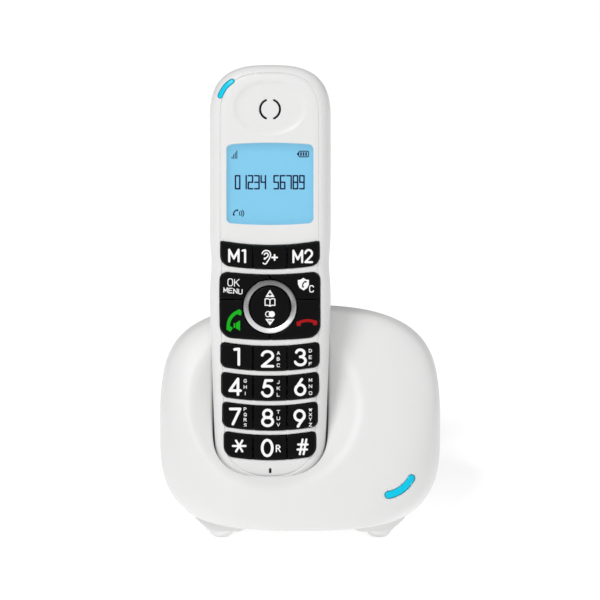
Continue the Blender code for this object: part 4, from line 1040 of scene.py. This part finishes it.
def make_base():
    put("base_casing", base_top_shape, (-59, -46, 6.8), (59, 46, 82.5), 0.75, 0.4, WORLD,
        "base", "casing", "white_casing", "base_top_cover")
    put("base_pan", pan_shape, (-50, -45, 0.2), (50, 44, 7), 0.6, 0.4, WORLD,
        "base", "pan", "white_casing", "base_bottom_cover")
    put("base_light", base_light_shape, (30, -37, 13), (52, -16, 29), 0.35, 0.5, WORLD,
        "base", "cyan", "cyan_lens", "base_indicator")
    put("page_button_cap", page_button_shape, (-5.2, -5.2, -5), (5.2, 5.2, 1.3), 0.32, 0.3, PAGE,
        "page_button", "casing", "white_casing", "page_button")


# ---------------------------------------------------------------- small parts
def cylinder_distance(r, z, radius, low, high, edge):
    """A cylinder with rounded rims: r is the distance from its axis and z runs along it."""
    return rounded_rect(r, z - (low + high) / 2, radius, (high - low) / 2, edge)


def screw_shape(head_radius, head_low, head_high, shank_high):
    """A pan-head screw, head down, with a crosswise driver recess and a threaded shank."""

    def shape(x, y, z):
        r = np.hypot(x, y)
        head = cylinder_distance(r, z, head_radius, head_low, head_high, 0.45)
        turn = np.arctan2(y, x)
        thread = 0.12 * np.sin(2 * np.pi * z / SCREW_PITCH - turn)
        shank = np.maximum(r - SHANK_RADIUS + 0.1 - thread, np.maximum(head_low + 0.5 - z, z - shank_high))
        depth = z - head_low - 0.9 + 0.5 * r
        cross = np.minimum(rounded_rect(x, y, 1.25, 0.24, 0.1), rounded_rect(x, y, 0.24, 1.25, 0.1))
        return carve(smooth_min(head, shank * 0.8, 0.2), np.maximum(cross, depth), 0.12)

    return shape


def foot_pad_shape(x, y, z):
    r = np.hypot(x, y)
    pad = cylinder_distance(r, z, FOOT_PAD_RADIUS, 0.0, FOOT_PAD_TOP, 0.35)
    return carve(pad, np.hypot(r - 1.9, z) - 0.22, 0.1)


def charge_pad_shape(x, y, z):
    """A contact set into the chin: a rounded plate with a shallow dimple facing out."""
    pad = box_distance(x, y, z, (-2, PAD_LOW, PAD_Z - 2), (2, PAD_LOW + 1.2, PAD_Z + 2), 0.4)
    dimple = np.sqrt(x**2 + (y - PAD_LOW + 1.3) ** 2 + (z - PAD_Z) ** 2) - 1.6
    return carve(pad, dimple, 0.2)


def charge_pin_shape(x, y, z):
    """A springy contact blade with rounded edges and a groove down its face."""
    top = PAD_LOW - 0.3
    blade = box_distance(x, y, z, (-1.3, -3.4, PAD_Z - 0.6), (1.3, top, PAD_Z + 0.6), 0.5)
    slot = rounded_rect(x, y + 1.4, 0.28, 1.5, 0.25)
    return carve(blade, np.maximum(slot, PAD_Z + 0.35 - z), 0.15)


def cell_shape(x, y, z):
    r = np.hypot(x, z)
    high = CELL_LOW + CELL_LENGTH
    can = cylinder_distance(r, y, CELL_RADIUS, CELL_LOW, high - 0.8, 0.7)
    tip = cylinder_distance(r, y, 1.9, high - 2, high, 0.4)
    return carve(smooth_min(can, tip, 0.3), np.hypot(r - CELL_RADIUS, y - high + 3.4) - 0.35, 0.2)


def cell_wrap_shape(x, y, z):
    """The printed sleeve round a cell, open at both ends and sunk into the can."""
    r = np.hypot(x, z)
    sleeve = np.maximum(r - CELL_RADIUS - 0.09, CELL_RADIUS - 0.7 - r)
    from_middle = np.abs(y - CELL_LOW - CELL_LENGTH / 2 + 1.2)
    return np.maximum(sleeve, from_middle - CELL_LENGTH / 2 + 2.8)


def socket_body(x, y, z, name, edge):
    middle, half = SOCKETS[name]
    low, high = (middle - half, SOCKET_BACK_Y, SOCKET_LOW), (middle + half, SOCKET_FRONT_Y, SOCKET_HIGH)
    return box_distance(x, y, z, low, high, edge)


def line_socket_shape(x, y, z):
    """A modular telephone socket: a stepped mouth with a latch notch, and a groove across its front."""
    middle, _ = SOCKETS["line_socket"]
    body = socket_body(x, y, z, "line_socket", 0.4)
    mouth = box_distance(x, y, z, (middle - 4.9, 27.0, 16.2), (middle + 4.9, 45, 23.2), 0.2)
    latch = box_distance(x, y, z, (middle - 1.7, 27.0, 15.0), (middle + 1.7, 45, 17.0), 0.2)
    body = carve(body, np.minimum(mouth, latch), 0.25)
    return carve(body, np.abs(z - 24.3) + np.abs(y - SOCKET_FRONT_Y) - 0.4, 0.1)


def power_jack_shape(x, y, z):
    """A barrel jack: a round mouth with a pin in it, and a ring cut round the mouth."""
    middle, _ = SOCKETS["power_jack"]
    r = np.hypot(x - middle, z - (SOCKET_LOW + SOCKET_HIGH) / 2)
    body = carve(socket_body(x, y, z, "power_jack", 0.5), np.maximum(r - 2.9, 29 - y), 0.4)
    body = carve(body, np.hypot(r - 3.8, y - SOCKET_FRONT_Y) - 0.25, 0.1)
    return np.minimum(body, cylinder_distance(r, y, 1.0, 28, 37.5, 0.5))


def socket_wires_shape(x, y, z):
    """The four sprung wires inside the telephone socket, sloping down into it."""
    middle, _ = SOCKETS["line_socket"]
    nearest = np.clip(np.round((x - middle) / WIRE_PITCH - 0.5), -2, 1) + 0.5
    across = x - middle - nearest * WIRE_PITCH
    wire = np.hypot(across, (z - 22.7 + (37.6 - y) * 0.42) * 0.9) - 0.28
    return np.maximum(wire, np.abs(y - 33.0) - 4.4)


def make_small_parts():
    for side, way in (("left", -1), ("right", 1)):
        at = HANDSET @ Matrix.Translation((way * SCREW_X, SCREW_Y, 0))
        node = "handset_screw_" + side
        screw = screw_shape(2.0, -9.4, -7.8, 5.5)
        put(node + "_driven", screw, (-2.2, -2.2, -9.6), (2.2, 2.2, 5.6), 0.14, 0.3, at,
            "handset", "steel", "steel", node)
        at = HANDSET @ Matrix.Translation((way * PAD_X, 0, 0))
        node = "handset_charge_pad_" + side
        put(node + "_plate", charge_pad_shape, (-2.1, 1.8, -5.1), (2.1, 3.4, -0.9), 0.14, 0.4, at,
            "handset", "gold", "gold_contact", node)
        node = "charge_contact_" + side
        put(node + "_blade", charge_pin_shape, (-1.4, -3.5, -3.7), (1.4, 1.9, -2.3), 0.12, 0.4, at,
            node, "gold", "gold_contact", node)
        at = HANDSET @ Matrix.Translation((way * CELL_X, 0, CELL_Z))
        node = "battery_cell_" + side
        put(node + "_can", cell_shape, (-5.3, 88.2, -5.3), (5.3, 133.1, 5.3), 0.4, 0.3, at,
            "handset", "steel", "steel", node)
        put(node + "_wrap", cell_wrap_shape, (-5.4, 89, -5.4), (5.4, 131, 5.4), 0.32, 0.25, at,
            "handset", "sleeve", "cell_sleeve")
    for node, (x, y) in BASE_SCREWS.items():
        at = Matrix.Translation((x, y, 0))
        screw = screw_shape(2.2, 2.3, 3.9, 20.0)
        put(node + "_driven", screw, (-2.4, -2.4, 2.1), (2.4, 2.4, 20.2), 0.15, 0.25, at,
            "base", "steel", "steel", node)
    for end, y in (("front", FRONT_FOOT_Y), ("rear", REAR_FOOT_Y)):
        for side, x in (("left", -FOOT_X), ("right", FOOT_X)):
            node = "foot_pad_" + end + "_" + side
            at = Matrix.Translation((x, y, 0))
            put(node + "_rubber", foot_pad_shape, (-3.1, -3.1, -0.1), (3.1, 3.1, 1.2), 0.14, 0.3, at,
                "base", "rubber", "grey_rubber", node)
    put("line_socket_housing", line_socket_shape, (1.4, 24.3, 13.8), (14.6, 38.7, 25.5), 0.25, 0.15, WORLD,
        "base", "dark", "dark_inner", "line_socket")
    put("line_socket_wires", socket_wires_shape, (4.8, 28.4, 16.5), (11.2, 37.5, 23.1), 0.14, 0.3, WORLD,
        "base", "gold", "gold_contact")
    put("power_jack_housing", power_jack_shape, (20.3, 24.3, 13.8), (29.7, 38.7, 25.5), 0.25, 0.15, WORLD,
        "base", "dark", "dark_inner", "power_jack")


# ---------------------------------------------------------------- display
def make_display():
    def lens_shape(x, y, z):
        edge = window_distance(x, y) + LENS_GAP
        over = np.maximum(z - LENS_TOP + LENS_EDGE, 0)
        slab = np.hypot(np.maximum(edge + LENS_EDGE, 0), over) - LENS_EDGE
        return np.maximum(np.maximum(slab, edge), LENS_BOTTOM - z)

    put("display_lens", lens_shape, (-18.2, 111, 8.6), (18.2, 145.4, 10.8), 0.45, 0.3, HANDSET,
        "handset", "window", "clear_window", "display_window")


# Seven-bar digits, bar by bar: top, upper left, upper right, middle, lower left, lower right, bottom.
BARS = {
    "0": "1110111", "1": "0010010", "2": "1011101", "3": "1011011", "4": "0111010",
    "5": "1101011", "6": "1101111", "7": "1010010", "8": "1111111", "9": "1111011",
}
BAR_ENDS = (
    ((0, 1), (1, 1)), ((0, 0.5), (0, 1)), ((1, 0.5), (1, 1)), ((0, 0.5), (1, 0.5)),
    ((0, 0), (0, 0.5)), ((1, 0), (1, 0.5)), ((0, 0), (1, 0)),
)
# What the display shows, in millimetres on its face.
READOUT, READOUT_LEFT, READOUT_PITCH = "01234 56789", -14.1, 2.62
READOUT_LOW, READOUT_HIGH, READOUT_DIGIT, READOUT_STROKE = 126.3, 131.6, 1.75, 0.6
SIGNAL_BARS, SIGNAL_LEFT, SIGNAL_LOW, SIGNAL_PITCH = (0.9, 1.8, 2.6, 3.4), -15.5, 138.5, 0.65
BATTERY_CENTRE, BATTERY_CELL_PITCH = (13.7, 140.45), 1.05


def print_display():
    """What the display shows: a line of digits, bars for signal and battery, and two small pictures."""
    digits = []
    for i, c in enumerate(READOUT):
        left = READOUT_LEFT + READOUT_PITCH * i
        for (start, end), lit in zip(BAR_ENDS, BARS.get(c, "0000000")):
            if lit == "1":
                tall = READOUT_HIGH - READOUT_LOW
                ends = [(left + READOUT_DIGIT * x, READOUT_LOW + tall * y) for x, y in (start, end)]
                digits.append(ends)

    def text(x, y):
        return stroke_distance(x, y, digits, READOUT_STROKE)

    def signal(x, y):
        bars = []
        for i, tall in enumerate(SIGNAL_BARS):
            from_middle = x - SIGNAL_LEFT - SIGNAL_PITCH * i
            bars.append(rounded_rect(from_middle, y - SIGNAL_LOW - tall / 2, 0.17, tall / 2, 0.05))
        return np.minimum.reduce(bars)

    def battery(x, y):
        dx, dy = x - BATTERY_CENTRE[0], y - BATTERY_CENTRE[1]
        case = np.abs(rounded_rect(dx, dy, 2.0, 1.15, 0.5)) - 0.19
        nub = rounded_rect(dx + 2.35, dy, 0.3, 0.5, 0.1)
        cells = [rounded_rect(dx + 1.1 - BATTERY_CELL_PITCH * i, dy, 0.33, 0.72, 0.05) for i in range(3)]
        return np.minimum.reduce([case, nub, *cells])

    def pictures(x, y):
        waves = [bend(-12.2, 116.3, 0.75, 0.95, 70, -70, 6), bend(-12.2, 116.3, 1.5, 1.7, 50, -50, 6)]
        waves.append([(-12.5, 115.5), (-12.4, 116.9)])
        receiver = receiver_distance(x, y, (-14.3, 116.8), 3.0, 52, 0.5)
        return np.minimum(receiver, stroke_distance(x, y, waves, 0.36))

    def level(x, y):
        return np.full_like(x, DISPLAY_LEVEL)

    for name, flat, box in (
        ("display_digits", text, (-14.5, 126, 14.6, 132)),
        ("display_signal", signal, (-15.9, 138.3, -13, 142.1)),
        ("display_battery", battery, (10.9, 139.1, 16, 141.8)),
        ("display_pictures", pictures, (-16, 114.5, -10, 118.8)),
    ):
        print_on(name, flat, box, level, "handset", "segment", 0.04)


def finish_carried_nodes():
    """CAD nodes that stay as they are get their real finish."""
    finishes = {
        "lcd_panel": "lcd",
        "lcd_holder": "dark",
        "ear_felt": "dark",
        "earpiece_receiver": "steel",
        "loudspeaker": "dark",
        "microphone": "dark",
        "handset_circuit_board": "board",
        "keypad_membrane": "rubber",
        "battery_spring_contact": "steel",
        "battery_plate_contact": "steel",
        "base_circuit_board": "board",
        "base_weight": "steel",
    }
    for node, material in finishes.items():
        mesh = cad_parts[node].data
        mesh.materials.clear()
        mesh.materials.append(M[material])


# ---------------------------------------------------------------- stage, light and camera
def make_stage():
    bpy.ops.mesh.primitive_plane_add(size=8.0, location=(0, 2.0, 0))
    floor = bpy.context.object
    floor.name = "floor"
    pale = grained("floor", (0.93, 0.93, 0.93), 0.01, 0.8, 0.04, 400, 2e-5, 12.0, Emission_Strength=0.43)
    set_inputs(shader_of(pale), Emission_Color=(1, 1, 1, 1))
    floor.data.materials.append(pale)


def make_light(name, place, aim, size, power):
    light = bpy.data.lights.new(name, "AREA")
    light.shape = "RECTANGLE"
    light.size, light.size_y = size
    light.energy = power
    obj = bpy.data.objects.new(name, light)
    obj.location = place
    obj.rotation_euler = (Vector(aim) - Vector(place)).to_track_quat("-Z", "Y").to_euler()
    bpy.context.scene.collection.objects.link(obj)


BRIGHTEST_FROM = (0.14, -0.45, 0.88)


def make_world():
    """Soft light all round, strongest from above and in front."""
    world = bpy.data.worlds.new("studio")
    bpy.context.scene.world = world
    world.use_nodes = True
    tree = world.node_tree
    place, towards = add_node(tree, "TexCoord"), add_node(tree, "VectorMath")
    towards.operation = "DOT_PRODUCT"
    towards.inputs[1].default_value = Vector(BRIGHTEST_FROM).normalized()
    strength = add_node(tree, "MapRange", From_Min=-0.1, From_Max=1.0, To_Min=0.06, To_Max=0.84)
    background = set_inputs(tree.nodes["Background"], Color=(1, 1, 1, 1))
    tree.links.new(place.outputs["Generated"], towards.inputs[0])
    tree.links.new(towards.outputs["Value"], strength.inputs["Value"])
    tree.links.new(strength.outputs["Result"], background.inputs["Strength"])
    bpy.context.scene.view_settings.view_transform = "Standard"


CAMERA_DISTANCE, PIXELS_PER_METRE, PICTURE_SIZE = 1.0, 2460, 600
AIM = (12.2, 80.95, 11.0)


def make_camera():
    """Looking down as steeply as the handset leans back, so that its face is seen square on."""
    camera = bpy.data.cameras.new("camera")
    camera.sensor_width = 36
    camera.lens = PIXELS_PER_METRE * CAMERA_DISTANCE / PICTURE_SIZE * camera.sensor_width
    camera.clip_end = 50
    obj = bpy.data.objects.new("camera", camera)
    bpy.context.scene.collection.objects.link(obj)
    aim = HANDSET @ Vector(AIM) * MM
    turn = HANDSET.to_3x3()
    obj.matrix_world = Matrix.Translation(aim + turn @ Vector((0, 0, CAMERA_DISTANCE))) @ turn.to_4x4()
    bpy.context.scene.camera = obj


make_handset_casing()
make_keys()
make_legends()
make_display()
print_display()
make_base()
make_small_parts()
finish_carried_nodes()
make_stage()
make_light("key", place=(-0.55, -0.5, 1.3), aim=(0, 0, 0.09), size=(0.4, 0.4), power=7.5)
make_world()
make_camera()

bpy.context.view_layer.update()
